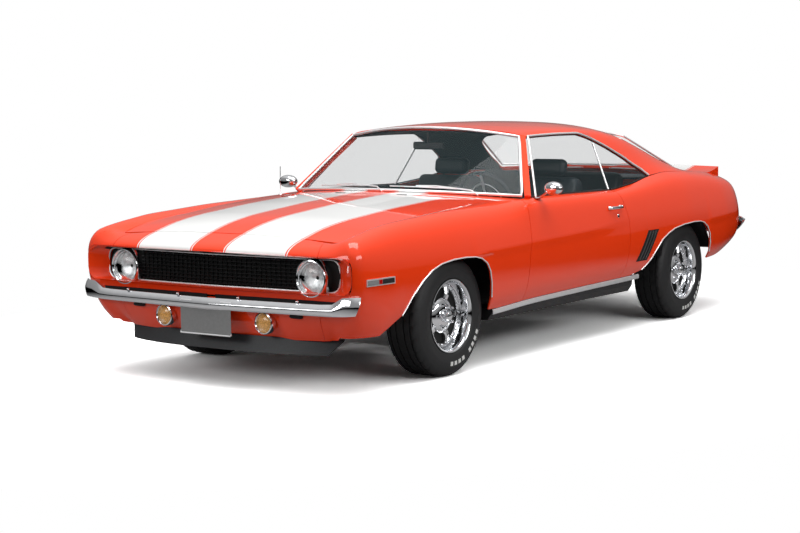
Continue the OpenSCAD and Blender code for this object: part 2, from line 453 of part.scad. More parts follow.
// Sill under each door, with its trim strip's face
sill_u = evenly(-1054, 568, 12);
function sill_gap(u) = u > -758 && u < 470 ? panel_gap : eps;
module rockers() color("#202020") both() {
    g = [for (u = sill_u) let (p = side_raw(u, 0)) [for (k = [[-34, 252], [-6, 292], [-2, p[2]]])
        sp([p[0], p[1] + k[0], k[1]]) - [0, 0, k[0] == -2 ? sill_gap(u) : 0]]];
    between(g, [for (r = g) [for (q = r) [q[0], sy(sill_in) + eps, q[2]]]]);
}
// Subframe that carries the engine and the front wheels
module front_subframe() color("#282828") {
    for (y = [-rail_y, rail_y]) block([712, y - 45, 290], [2060, y + 45, 380]);
    block([1350, -425, 240], [1510, 425, 290]);
    block([2010, -335, 300], [2060, 335, 370]);
    for (m = [0, 1]) mirror([0, m, 0]) {
        control_arm(430, 230, [half_track - 52, tyre_r - 112], 26, 200);
        control_arm(437, 470, [half_track - 82, tyre_r + 118], 20, 140);
        // spring tower over the rail
        block([1370, 335, 380], [1490, 423.7, 520]);
    }
}
// Arm from its pivot bar by the frame to a ball end: place of the bar, ball end, half width, length of the bar
module control_arm(y, z, ball, r, bar) {
    hull() {
        translate([front_x, ball[0], ball[1]]) cylinder(r = r, h = 16, center = true, $fn = 24);
        translate([front_x, sy(y) + 75, sz(z)]) cylinder(r = r, h = 18, center = true, $fn = 24);
    }
    hull() {
        translate([front_x, sy(y) + 75, sz(z)]) cylinder(r = r, h = 18, center = true, $fn = 24);
        translate([front_x, sy(y) + 8, sz(z)]) cube([bar, 22, 22], center = true);
    }
}
// Steering axis through the two ball ends, and the knuckle that turns about it
module knuckle(m) mirror([0, m, 0]) {
    hull() {
        translate([front_x, half_track - 54, tyre_r - 96.6]) cylinder(r = 20, h = 10.6, $fn = 24);
        translate([front_x, half_track - 60, tyre_r - 40]) cylinder(r = 22, h = 12, $fn = 24);
    }
    hull() {
        translate([front_x, half_track - 62, tyre_r - 40]) cylinder(r = 22, h = 80, $fn = 24);
        translate([front_x, half_track - 82, tyre_r + 97.5]) cylinder(r = 10, h = 11.7, $fn = 24);
    }
    translate([front_x, half_track - 84, tyre_r]) rotate([-90, 0, 0]) cylinder(r = 38, h = hub_out + 84 - eps, $fn = 48);
    // brake backing plate and the steering arm
    translate([front_x, half_track - 22, tyre_r]) rotate([-90, 0, 0]) cylinder(r = 125, h = 10, $fn = 64);
    hull() {
        translate([front_x - 20, half_track - 62, tyre_r - 70]) cylinder(r = 14, h = 16, $fn = 24);
        translate([front_x - 112, half_track - 78, tyre_r - 70]) cylinder(r = 12, h = 16, $fn = 24);
    }
}
rim_out = tyre_w / 2 - 7;                 // outer face of the rim from the wheel's centre plane
hub_out = rim_out - dish - 32;            // mounting face of the hub
module knuckle_left() color("#555") knuckle(0);
module knuckle_right() color("#555") knuckle(1);

module engine_bay() color("#252525") {
    for (m = [0, 1]) mirror([0, m, 0]) {
        block([712.3, 424, 380.3], [2060, 430, 716]);
        block([712.3, 424, 710], [2060, 700, 716]);
    }
    block([2060, -700, 440], [2068, 700, 716]);
}
module engine_block() color("#444") {
    block([900, -230, 300], [1560, 230, 640]);
    block([712.3, -110, 400], [900, 110, 560]);
    // mounts on the rails
    for (y = [-1, 1]) block([1180, y * 230, 381], [1260, y * 345, 420]);
}
module rear_wheelhouses() color("#252525") both() intersection() {
    translate([rear_x, sy(546), tyre_r]) rotate([-90, 0, 0]) difference() {
        cylinder(r = tyre_r + 72, h = half_w - 50 - sy(546), $fn = 96);
        translate([0, 0, 8]) cylinder(r = tyre_r + 62, h = half_w, $fn = 96);
    }
    block([-1900, 0, 440], [-600, 938, 1000]);
}
module rear_axle() color("#2b2b2b") {
    translate([rear_x, 0, tyre_r]) rotate([90, 0, 0])
        cylinder(r = 38, h = 2 * (half_track + hub_out - eps), center = true, $fn = 48);
    translate([rear_x, 0, tyre_r]) sphere(r = 132, $fn = 64);
    for (y = [-1, 1]) {
        translate([rear_x, y * (half_track - 46), tyre_r]) rotate([90, 0, 0]) cylinder(r = 135, h = 60, center = true, $fn = 64);
        translate([0, y * sy(575) + 24, 0]) rotate([90, 0, 0]) linear_extrude(48) polygon(concat(
            [for (t = evenly(0, 1, 12)) leaf(t, 0)], [for (t = evenly(1, 0, 12)) leaf(t, 18)]));
    }
}
// Leaf spring from its front eye, under the axle, to its rear shackle
function leaf(t, up) = [mix(sx(-790), sx(-1990), t), tyre_r - 56.4 + up + 270 * pow(t - 0.436, 2)];
module rear_rails() color("#2b2b2b") both() {
    block([-2240, 470, 350], [-1712, 550.7, 429.7]);
    block([-1019.7, 470, 320], [-772.3, 550.7, 399.7]);
    block([-1699.7, 470, 466], [-1032.3, 545.7, 527.7]);
}
module fuel_tank() color("#3a3a3a") block([-2160, -380, 290], [-1760, 380, 429.6]);
// Pipe from the engine over the axle to the tail: x, y, height, radius; the wide stretch is the muffler
EXHAUST = [[900, 300, 214, 26], [-280, 300, 214, 26], [-310, 300, 214, 32], [-700, 306, 214, 32], [-730, 306, 214, 26],
    [-1040, 316, 226, 26], [-1180, 334, 420, 26], [-1230, 338, 434, 26], [-1480, 345, 434, 26], [-1620, 410, 345, 26],
    [-1740, 425, 280, 26], [-2250, 425, 256, 26]];
module exhaust() color("silver") both() {
    tube([for (q = EXHAUST) sp(q)], [for (q = EXHAUST) q[3]], 12);
    // hanger from the floor to the muffler
    translate(sp([-500, 302, 240])) cylinder(r = 8, h = floor_z - eps - sz(240), $fn = 16);
}
// Round tube through points, with its own radius at each
module tube(points, radii, sides) {
    n = len(points);
    rings = [for (i = [0:n - 1]) let (d = unit(points[min(n - 1, i + 1)] - points[max(0, i - 1)]),
        a = unit(cross(d, [0, 1, 0])), b = cross(d, a))
        each [for (k = [0:sides - 1]) points[i] + radii[i] * (cos(360 * k / sides) * a + sin(360 * k / sides) * b)]];
    polyhedron(rings, concat(
        [for (i = [0:n - 2], k = [0:sides - 1]) let (m = (k + 1) % sides)
            each [[i * sides + k, (i + 1) * sides + m, i * sides + m], [i * sides + k, (i + 1) * sides + k, (i + 1) * sides + m]]],
        [[for (k = [0:sides - 1]) k], [for (k = [sides - 1:-1:0]) (n - 1) * sides + k]]));
}

// ---- Cabin ----
column_r = 28;
module dashboard() color("#1a1a1a") difference() {
    hull() {
        block([540, -700, 700], [688, 700, 860]);
        block([440, -700, 720], [600, 700, 840]);
        block([500, -690, 862], [699.7, 690, 873.4]);
    }
    // socket for the steering column
    translate(steer) rotate([0, -column_tilt, 0]) translate([0, 0, -22 - 2 * eps - 190])
        cylinder(r = column_r + eps, h = 190 + eps, $fn = 32);
}
column_tilt = 66;
steer = sp([262, 345, 845]);
module steering_wheel() color("#141414") translate(steer) rotate([0, -column_tilt, 0]) {
    rotate_extrude($fn = 72) translate([wheel_d / 2 - 13, 0]) circle(r = 13, $fn = 24);
    for (a = [0, 130, 230]) rotate([0, 0, a + 180]) translate([0, -14, -6]) cube([wheel_d / 2 - 14, 28, 10]);
    translate([0, 0, -22]) cylinder(r = 42, h = 34, $fn = 48);
}
module steering_column() color("#141414") translate(steer) rotate([0, -column_tilt, 0])
    translate([0, 0, -22 - eps - 190]) cylinder(r = column_r, h = 190, $fn = 32);
module soft_box(size, r) hull() for (x = [-1, 1], y = [-1, 1], z = [-1, 1])
    translate([x * (size[0] / 2 - r), y * (size[1] / 2 - r), z * (size[2] / 2 - r)]) sphere(r = r, $fn = 12);
seat_y = 362;
module front_seats() color("#151515") for (y = [-1, 1]) translate([0, y * sy(seat_y), 0]) {
    translate([sx(-60), 0, sz(455)]) rotate([0, -6, 0]) soft_box([500, seat_w, 150], 40);
    translate([sx(-365), 0, sz(700)]) rotate([0, -14, 0]) soft_box([120, seat_w - 40, 520], 40);
    translate([sx(-436), 0, sz(1012)]) rotate([0, -10, 0]) soft_box([80, 250, 110], 30);
    // stalks, runners
    for (s = [-60, 60]) translate([sx(-428), s, sz(945)]) cylinder(r = 7, h = 25, $fn = 16);
    for (s = [-1, 1]) translate([sx(-60), s * 180, sz(323.5)]) cube([400, 30, sz(385) - sz(262) - 2 * eps], center = true);
}
module rear_back(grow) translate([sx(-1010), 0, sz(760)]) rotate([0, -22, 0])
    soft_box([110 + 2 * grow, sy(1080) + 2 * grow, 420 + 2 * grow], 40);
module rear_seat() color("#151515") {
    translate([sx(-800), 0, sz(512)]) rotate([0, -8, 0]) soft_box([330, sy(1080), 130], 40);
    rear_back(0);
    block([-940, -450, 412.3], [-680, 450, 470]);
    block([-1125, -520, 540.3], [-1040, 520, 640]);
    block([-1120.7, -500, 640], [-1100, 500, 925]);
}
// Shelf under the back window
module parcel_shelf() color("#151515") difference() {
    block([-1650, -600, 915], [-1121, 600, 925]);
    rear_back(eps);
}

// ---- Mirrors ----
module mirror_body() {
    hull() {
        translate(sp([508, 842, 882.4])) cylinder(r = 16, h = 5, $fn = 32);
        translate(sp([512, 868, 900])) cylinder(r = 8, h = 5, $fn = 32);
    }
    hull() {
        translate(sp([512, 868, 900])) cylinder(r = 8, h = 5, $fn = 32);
        translate(sp([520, 930, 930])) cylinder(r = 6, h = 5, $fn = 32);
    }
    translate(sp([500, 950, 946])) rotate([0, 90, -12]) cylinder(r1 = 40, r2 = 22, h = 40, $fn = 48);
}
module mirror_left() color("silver") mirror_body();
module mirror_right() color("silver") mirror([0, 1, 0]) mirror_body();

// ---- Wheels ----
// Tyre section as radius and half width, from the bead over the shoulder
TYRE = [[0, 99], [12, 101], [24, 109], [38, 114.5], [62, 117.5], [90, 114], [106, 106], [118, 92], [124, 70], [126.5, 40], [127, 0]];
bead_r = rim_d / 2 - 14;
function tyre_section() = let (k = (tyre_r - bead_r) / 127, q = tyre_w / 235,
    side = [for (p = TYRE) [bead_r + p[0] * k, p[1] * q]])
    concat(side, [for (i = [len(side) - 2:-1:0]) [side[i][0], -side[i][1]]]);
module wheel_at(x, m) mirror([0, m, 0]) translate([x, half_track, tyre_r]) rotate([-90, 0, 0]) children();
module tyre() rotate_extrude($fn = 128) polygon(tyre_section());
module rim() {
    r = bead_r - eps;
    rotate_extrude($fn = 128) polygon([[r - 8, -rim_out], [r + 13, -rim_out], [r + 13, -rim_out + 4], [r, -rim_out + 8],
        [r, rim_out - 8], [r + 13, rim_out - 4], [r + 13, rim_out], [r - 2, rim_out], [r - 10, rim_out - 12], [r - 10, -rim_out + 10]]);
    difference() {
        translate([0, 0, hub_out]) cylinder(r = r - 5, h = 32, $fn = 96);
        translate([0, 0, hub_out - 1]) cylinder(r = r - 14, h = 14, $fn = 96);
        for (a = [0:72:359]) rotate([0, 0, a]) translate([r * 0.66, 0, hub_out - 1]) cylinder(r = 30, h = 40, $fn = 32);
    }
    translate([0, 0, hub_out]) cylinder(r = 70, h = 42, $fn = 64);
}
module tyre_front_left() color("#1a1a1a") wheel_at(front_x, 0) tyre();
module tyre_front_right() color("#1a1a1a") wheel_at(front_x, 1) tyre();
module tyre_rear_left() color("#1a1a1a") wheel_at(rear_x, 0) tyre();
module tyre_rear_right() color("#1a1a1a") wheel_at(rear_x, 1) tyre();
module rim_front_left() color("silver") wheel_at(front_x, 0) rim();
module rim_front_right() color("silver") wheel_at(front_x, 1) rim();
module rim_rear_left() color("silver") wheel_at(rear_x, 0) rim();
module rim_rear_right() color("silver") wheel_at(rear_x, 1) rim();

floor_pan();
rockers();
front_subframe();
engine_bay();
engine_block();
rear_wheelhouses();
rear_rails();
rear_axle();
fuel_tank();
exhaust();
fenders();
nose_panel();
front_valance();
air_dam();
front_bumper();
grille();
headlights();
turn_lamps();
cowl_panel();
windshield();
roof_shell();
rear_window();
quarter_panels();
quarter_glass();
tail_panel();
tail_lamps();
rear_bumper();
dashboard();
steering_column();
front_seats();
rear_seat();
parcel_shelf();
hood();
deck_lid();
rear_spoiler();
door_left();
door_glass_left();
mirror_left();
door_right();
door_glass_right();
mirror_right();
steering_wheel();
knuckle_left();
knuckle_right();
tyre_front_left();
rim_front_left();
tyre_front_right();
rim_front_right();
tyre_rear_left();
rim_rear_left();
tyre_rear_right();
rim_rear_right();
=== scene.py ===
"""Looks of the two-door muscle coupe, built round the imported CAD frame. Metres, +X nose, +Y left, +Z up."""
import math
from functools import lru_cache

import bmesh
import bpy
import numpy as np
from mathutils import Matrix, Vector


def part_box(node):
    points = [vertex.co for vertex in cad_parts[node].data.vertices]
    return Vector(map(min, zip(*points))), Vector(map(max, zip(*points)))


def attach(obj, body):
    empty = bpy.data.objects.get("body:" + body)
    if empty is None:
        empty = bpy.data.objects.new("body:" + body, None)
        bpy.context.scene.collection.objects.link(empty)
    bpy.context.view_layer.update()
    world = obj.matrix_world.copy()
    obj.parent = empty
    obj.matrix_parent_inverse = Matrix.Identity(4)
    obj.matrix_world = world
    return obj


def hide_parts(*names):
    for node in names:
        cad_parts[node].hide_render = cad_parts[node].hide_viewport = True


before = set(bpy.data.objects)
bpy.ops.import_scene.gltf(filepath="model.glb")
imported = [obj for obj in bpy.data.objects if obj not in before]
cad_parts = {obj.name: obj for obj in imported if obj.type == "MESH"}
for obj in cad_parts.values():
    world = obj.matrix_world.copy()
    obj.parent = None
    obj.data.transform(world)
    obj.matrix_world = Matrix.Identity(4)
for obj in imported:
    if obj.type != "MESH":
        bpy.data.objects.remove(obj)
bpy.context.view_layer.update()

# ---------------------------------------------------------------- sizes, from the frame
tyre_lo, tyre_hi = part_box("tyre_front_left")
rear_lo, rear_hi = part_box("tyre_rear_left")
FRONT_X = (tyre_lo.x + tyre_hi.x) / 2
REAR_X = (rear_lo.x + rear_hi.x) / 2
TRACK_Y = (tyre_lo.y + tyre_hi.y) / 2
TYRE_R = (tyre_hi.z - tyre_lo.z) / 2
TYRE_W = tyre_hi.y - tyre_lo.y
MM = 0.001

# ---------------------------------------------------------------- body tables, in millimetres
# Widest outline from above, run from the nose to the tail: u, x, y
PLAN = [[-3200, 2338, 0], [-2700, 2316, 500], [-2360, 2296, 838], [-2291, 2290, 907], [-2190, 2190, 914],
        [-2050, 2050, 922], [-1430, 1430, 938], [-900, 900, 932], [0, 0, 925], [900, -900, 930],
        [1313, -1313, 938], [1900, -1900, 925], [2100, -2100, 905], [2230, -2225, 860], [2380, -2300, 740],
        [2600, -2330, 520], [3100, -2345, 0]]
# Inner edge of the same run, along the hood, the windows and the deck lid: u, x, y
INNER = [[-3200, 2182, 0], [-2700, 2178, 480], [-2517, 2194, 650], [-2290, 2188, 708], [-2190, 2150, 720],
         [-2050, 2040, 724], [-1900, 1900, 726], [-1430, 1430, 728], [-1000, 1000, 726], [-860, 860, 724],
         [-680, 680, 842], [-600, 600, 838], [-500, 500, 814], [0, 0, 812], [430, -430, 810],
         [700, -700, 803], [960, -960, 786], [1180, -1180, 776], [1500, -1500, 768], [1780, -1780, 760],
         [2100, -2100, 742], [2230, -2196, 704], [2380, -2236, 630], [2600, -2252, 440], [3100, -2252, 0]]
# Rows of the side section as u, then inset and height of the hem, low side, lower crease, widest, line,
# shoulder and crest, then the height of the inner edge
ROWS = [
    [-3200, 95, 262, 62, 320, 34, 420, 30, 505, 10, 668, 0, 700, 52, 736, 766],
    [-2700, 95, 262, 62, 320, 34, 420, 30, 505, 8, 664, 0, 697, 52, 734, 764],
    [-2500, 120, 264, 74, 322, 30, 425, 20, 508, 6, 660, 0, 694, 56, 738, 760],
    [-2380, 185, 270, 105, 330, 36, 430, 8, 515, 4, 650, 6, 698, 66, 752, 757],
    [-2290, 160, 278, 90, 336, 30, 437, 3, 535, 4, 648, 14, 718, 80, 785, 757],
    [-2190, 90, 282, 42, 340, 12, 436, 0, 540, 4, 648, 24, 738, 98, 806, 770],
    [-2050, 64, 282, 25, 343, 8, 428, 0, 543, 4, 649, 30, 752, 104, 826, 800],
    [-1900, 62, 285, 24, 345, 10, 420, 0, 545, 4, 650, 34, 765, 108, 845, 812],
    [-1430, 55, 300, 22, 360, 10, 435, 0, 560, 4, 652, 38, 780, 110, 868, 850],
    [-1000, 52, 318, 20, 375, 10, 450, 2, 562, 8, 658, 38, 785, 105, 872, 872],
    [-860, 50, 325, 20, 382, 10, 452, 2, 564, 8, 660, 38, 788, 98, 874, 886],
    [-680, 50, 333, 20, 390, 10, 455, 3, 565, 8, 662, 34, 785, 52, 858, 878],
    [-500, 50, 337, 20, 393, 9, 456, 3, 565, 8, 663, 34, 786, 60, 868, 888],
    [0, 48, 345, 20, 400, 8, 458, 2, 566, 8, 668, 32, 785, 60, 868, 884],
    [430, 46, 352, 18, 405, 6, 458, 0, 566, 8, 672, 32, 785, 60, 868, 880],
    [700, 44, 357, 16, 408, 5, 460, 0, 568, 6, 680, 32, 790, 64, 886, 904],
    [960, 44, 360, 16, 412, 5, 462, 0, 568, 6, 690, 34, 800, 72, 908, 944],
    [1180, 44, 362, 16, 415, 5, 465, 0, 570, 6, 690, 36, 805, 82, 922, 962],
    [1500, 46, 366, 16, 420, 6, 468, 0, 572, 6, 688, 36, 800, 84, 922, 956],
    [1780, 48, 382, 18, 430, 8, 475, 0, 574, 6, 682, 34, 795, 82, 905, 936],
    [2100, 50, 462, 24, 490, 10, 525, 0, 590, 4, 675, 28, 775, 72, 868, 896],
    [2250, 50, 500, 28, 520, 12, 550, 2, 600, 4, 675, 22, 765, 56, 850, 884],
    [2400, 46, 505, 28, 525, 14, 550, 4, 600, 4, 675, 16, 765, 40, 840, 878],
    [3100, 46, 505, 28, 525, 14, 550, 4, 600, 4, 675, 16, 770, 40, 850, 890]]
# Middle height and drop at the edge of the hood and of the deck lid: x, height, drop
HOOD = [[600, 930, 38], [850, 918, 35], [1100, 902, 32], [1430, 880, 30], [1850, 840, 24], [2000, 816, 16],
        [2100, 793, 9], [2180, 768, 4], [2300, 735, 2]]
DECK = [[-2400, 885, 16], [-2262, 903, 18], [-2100, 925, 22], [-1900, 955, 25], [-1700, 975, 28],
        [-1500, 990, 30]]
# Wheel arches: distance behind the axle, height over the axle
ARCH_FRONT = [[-560, -30], [-500, 60], [-430, 145], [-345, 218], [-262, 266], [-180, 291], [-70, 304],
              [40, 306], [130, 301], [195, 288], [248, 258], [280, 215], [300, 150], [315, 70], [325, 0]]
ARCH_REAR = [[-735, -30], [-660, 60], [-575, 118], [-485, 190], [-423, 235], [-345, 268], [-260, 293],
             [-120, 311], [20, 318], [120, 315], [180, 303], [235, 272], [272, 225], [290, 160], [302, 100],
             [310, 30]]
# Door edges as height, x
DOOR_FRONT = [[330, 752], [600, 722], [850, 676], [900, 664]]
DOOR_REAR = [[330, -372], [400, -418], [550, -450], [700, -462], [860, -420], [900, -412]]
# Greenhouse: x, then y and height of its section from the belt over the rail to the middle of the roof
TOP = [
    [700, 818, 892, 760, 1000, 690, 1110, 645, 1196, 560, 1226, 330, 1248, 120, 1254, 0, 1254],
    [350, 812, 888, 757, 1000, 688, 1112, 634, 1214, 560, 1246, 330, 1264, 120, 1270, 0, 1270],
    [150, 808, 886, 756, 1000, 688, 1114, 634, 1220, 560, 1258, 330, 1282, 120, 1290, 0, 1290],
    [-100, 806, 884, 756, 1000, 688, 1116, 634, 1224, 560, 1265, 330, 1292, 120, 1300, 0, 1300],
    [-400, 806, 878, 756, 998, 688, 1116, 632, 1222, 560, 1264, 330, 1293, 120, 1301, 0, 1301],
    [-700, 800, 906, 752, 998, 688, 1105, 630, 1202, 560, 1246, 330, 1282, 120, 1292, 0, 1292],
    [-960, 784, 944, 742, 1004, 684, 1084, 628, 1158, 560, 1206, 330, 1252, 120, 1265, 0, 1265],
    [-1180, 776, 962, 740, 994, 690, 1044, 632, 1098, 565, 1140, 330, 1190, 120, 1204, 0, 1204],
    [-1400, 768, 960, 738, 974, 694, 1002, 640, 1036, 575, 1062, 330, 1110, 120, 1122, 0, 1122],
    [-1650, 764, 946, 736, 950, 692, 956, 640, 962, 580, 968, 330, 985, 120, 990, 0, 990],
    [-1900, 762, 925, 736, 930, 692, 935, 640, 940, 580, 944, 330, 955, 120, 960, 0, 960]]
ROOF_FRONT = [[0, 298], [0.47, 298], [0.6, 324], [0.7, 364], [0.8, 386], [1, 399]]
SAIL_FRONT = [[0, -985], [0.12, -920], [0.25, -770], [0.33, -620], [0.4, -480], [0.43, -420], [0.47, -335]]
BACK_EDGE = [[0, -1690], [0.2, -1620], [0.35, -1480], [0.47, -1250], [0.55, -1090], [0.62, -1020],
             [0.8, -1060], [1, -1075]]
RAIL_W = 0.47
SAIL_START = -335
NOSE, TAIL = -3200, 3100
FENDER_U, TAIL_U = -2335, 2335
AXLE_FRONT, AXLE_REAR, AXLE_Z = 1430, -1313, 318.5
GAP = 4.0              # shut line between panels


# ---------------------------------------------------------------- curves
def mix(a, b, t):
    return a + (b - a) * t


def clamp01(t):
    return min(1.0, max(0.0, t))


def unit(v):
    return v / max(1e-9, float(np.linalg.norm(v)))


def look(key, table, c=1):
    return float(np.interp(key, [r[0] for r in table], [r[c] for r in table]))


COLUMNS = {}


def soft(key, table, c, w=60.0):
    """Look-up with its corners rounded over a width w."""
    k = (id(table), c)
    if k not in COLUMNS:
        rows = sorted(table)
        COLUMNS[k] = (np.array([r[0] for r in rows], float), np.array([r[c] for r in rows], float))
    xs, ys = COLUMNS[k]
    v = np.interp([key - w, key - w / 2, key, key + w / 2, key + w], xs, ys)
    return float(v[0] + 2 * v[1] + 2 * v[2] + 2 * v[3] + v[4]) / 8


def bspline(p, t):
    """Point at t of a uniform cubic B-spline that starts and ends at its end points."""
    n = len(p)
    q = np.vstack([2 * p[0] - p[1], p, 2 * p[n - 1] - p[n - 2]])
    f = clamp01(t) * (n - 1)
    i = min(n - 2, int(math.floor(f)))
    s = f - i
    return ((1 - s) ** 3 * q[i] + (3 * s ** 3 - 6 * s * s + 4) * q[i + 1]
            + (-3 * s ** 3 + 3 * s * s + 3 * s + 1) * q[i + 2] + s ** 3 * q[i + 3]) / 6


def folded(u):
    return 2 * NOSE - u if u < NOSE else 2 * TAIL - u if u > TAIL else u


def nose_bow(x, y):
    return (abs(y) / 720) ** 2.4 * 72 * clamp01((x - 1300) / 700)


def crowned(x, y, table):
    return soft(x, table, 1) - soft(x, table, 2) * (y / 720) ** 2


def hood_z(x, y):
    return crowned(x + nose_bow(x, y), y, HOOD)


def deck_z(x, y):
    return crowned(x, y, DECK)


@lru_cache(maxsize=None)
def side_rows(u):
    b = np.array([soft(u, PLAN, 1), soft(u, PLAN, 2)])
    c = np.array([soft(u, INNER, 1), soft(u, INNER, 2)])
    d = unit(c - b)
    h, k = clamp01((-u - 700) / 160), clamp01((u - 1500) / 250)
    rows = []
    for i in range(7):
        q = b + d * soft(u, ROWS, 1 + 2 * i)
        rows.append([q[0], q[1], soft(u, ROWS, 2 + 2 * i)])
    z = mix(mix(soft(u, ROWS, 15), hood_z(c[0], c[1]), h), deck_z(c[0], c[1]), k)
    rows.append([c[0], c[1], z])
    return np.array(rows)


def side_raw(u, v):
    p = bspline(side_rows(round(folded(u), 3)), v)
    return p if folded(u) == u else p * np.array([1, -1, 1])


def side_z(u, v):
    return side_raw(u, v)[2]


def v_at(u, z, top_v=0.93):
    rows = side_rows(round(folded(u), 3))
    lo, hi = 0.0, top_v
    for _ in range(16):
        m = (lo + hi) / 2
        if bspline(rows, m)[2] < z:
            lo = m
        else:
            hi = m
    return (lo + hi) / 2


def arch_z(u, arch, axle):
    return AXLE_Z + look(u + axle, arch)


def door_u(edge, z):
    return -soft(z, edge, 1)


@lru_cache(maxsize=None)
def top_row(x, k):
    if k == 1:
        p = side_rows(round(-x, 3))[7]
        return p[1], p[2]
    return soft(x, TOP, 2 * k - 1, 80), soft(x, TOP, 2 * k, 80)


def top(x, w):
    q = bspline(np.array([top_row(x, k) for k in range(1, 9)]), w)
    return np.array([x, q[0], q[1]])


EDGE = sorted([[-r[1], r[2]] for r in INNER if -2290 <= r[0] <= 2230])


def edge_y(x):
    return soft(-x, EDGE, 1)


# ---------------------------------------------------------------- materials
def shader(name, colour, rough, metal=0.0, coat=0.0, coat_rough=0.03, **more):
    """Principled material; returns it with its node tree and shader node."""
    m = bpy.data.materials.new(name)
    m.use_nodes = True
    b = m.node_tree.nodes["Principled BSDF"]
    b.inputs["Base Color"].default_value = (*colour, 1)
    b.inputs["Roughness"].default_value = rough
    b.inputs["Metallic"].default_value = metal
    b.inputs["Coat Weight"].default_value = coat
    b.inputs["Coat Roughness"].default_value = coat_rough
    for key, value in more.items():
        b.inputs[key.replace("_", " ")].default_value = value
    return m


def node(m, kind, **values):
    n = m.node_tree.nodes.new(kind)
    for key, value in values.items():
        setattr(n, key, value)
    return n


def link(m, a, b):
    m.node_tree.links.new(a, b)


def textured(m, scale=40.0, colour_amount=0.08, rough_amount=0.1, bump=0.02, depth=0.0005, kind="noise"):
    """Small variation of colour, roughness and height over object coordinates."""
    b = m.node_tree.nodes["Principled BSDF"]
    where = node(m, "ShaderNodeTexCoord")
    if kind == "noise":
        t = node(m, "ShaderNodeTexNoise")
        t.inputs["Scale"].default_value = scale
        t.inputs["Detail"].default_value = 6
        value = t.outputs["Fac"]
    else:
        t = node(m, "ShaderNodeTexVoronoi")
        t.inputs["Scale"].default_value = scale
        value = t.outputs["Distance"]
    link(m, where.outputs["Object"], t.inputs["Vector"])
    base = list(b.inputs["Base Color"].default_value)
    ramp = node(m, "ShaderNodeValToRGB")
    ramp.color_ramp.elements[0].position = 0.3
    ramp.color_ramp.elements[1].position = 0.7
    ramp.color_ramp.elements[0].color = [c * (1 - colour_amount) for c in base[:3]] + [1]
    ramp.color_ramp.elements[1].color = [min(1, c * (1 + colour_amount)) for c in base[:3]] + [1]
    link(m, value, ramp.inputs["Fac"])
    link(m, ramp.outputs["Color"], b.inputs["Base Color"])
    r = b.inputs["Roughness"].default_value
    spread = node(m, "ShaderNodeMapRange")
    spread.inputs["To Min"].default_value = max(0.0, r - rough_amount)
    spread.inputs["To Max"].default_value = min(1.0, r + rough_amount)
    link(m, value, spread.inputs["Value"])
    link(m, spread.outputs["Result"], b.inputs["Roughness"])
    if bump:
        n = node(m, "ShaderNodeBump")
        n.inputs["Strength"].default_value = bump
        n.inputs["Distance"].default_value = depth
        link(m, value, n.inputs["Height"])
        link(m, n.outputs["Normal"], b.inputs["Normal"])
    return m


RED = (0.92, 0.048, 0.004)
WHITE = (0.86, 0.86, 0.85)
STRIPE_IN, STRIPE_OUT = 0.103, 0.498     # edges of each white stripe across the car
PIN, PIN_GAP = 0.006, 0.008              # pinstripe and its distance from the white edge


def flaked(m):
    """Faint orange peel in the clear coat."""
    b = m.node_tree.nodes["Principled BSDF"]
    where = node(m, "ShaderNodeTexCoord")
    t = node(m, "ShaderNodeTexNoise")
    t.inputs["Scale"].default_value = 260
    link(m, where.outputs["Object"], t.inputs["Vector"])
    n = node(m, "ShaderNodeBump")
    n.inputs["Strength"].default_value = 0.012
    n.inputs["Distance"].default_value = 0.0004
    link(m, t.outputs["Fac"], n.inputs["Height"])
    link(m, n.outputs["Normal"], b.inputs["Coat Normal"])
    return m


def math_node(m, op, a, b):
    n = node(m, "ShaderNodeMath", operation=op)
    for i, v in enumerate((a, b)):
        if isinstance(v, (int, float)):
            n.inputs[i].default_value = v
        else:
            link(m, v, n.inputs[i])
    return n.outputs[0]


def striped(m, outer=STRIPE_OUT):
    """White stripes with a pinstripe outside each edge, across y in object coordinates."""
    b = m.node_tree.nodes["Principled BSDF"]
    where = node(m, "ShaderNodeTexCoord")
    split = node(m, "ShaderNodeSeparateXYZ")
    link(m, where.outputs["Object"], split.inputs[0])
    y = math_node(m, "ABSOLUTE", split.outputs["Y"], 0)
    middle, half = (STRIPE_IN + outer) / 2, (outer - STRIPE_IN) / 2
    off = math_node(m, "ABSOLUTE", math_node(m, "SUBTRACT", y, middle), 0)
    white = math_node(m, "LESS_THAN", off, half - PIN - PIN_GAP)
    inside, outside = math_node(m, "LESS_THAN", off, half), math_node(m, "GREATER_THAN", off, half - PIN)
    pin = math_node(m, "MULTIPLY", outside, inside)
    mask = math_node(m, "MAXIMUM", white, pin)
    blend = node(m, "ShaderNodeMix", data_type="RGBA")
    blend.inputs["A"].default_value = (*RED, 1)
    blend.inputs["B"].default_value = (*WHITE, 1)
    link(m, mask, blend.inputs["Factor"])
    link(m, blend.outputs["Result"], b.inputs["Base Color"])
    return m


def paint(name):
    return flaked(shader(name, RED, 0.42, coat=1.0, coat_rough=0.02, Specular_IOR_Level=0.1))


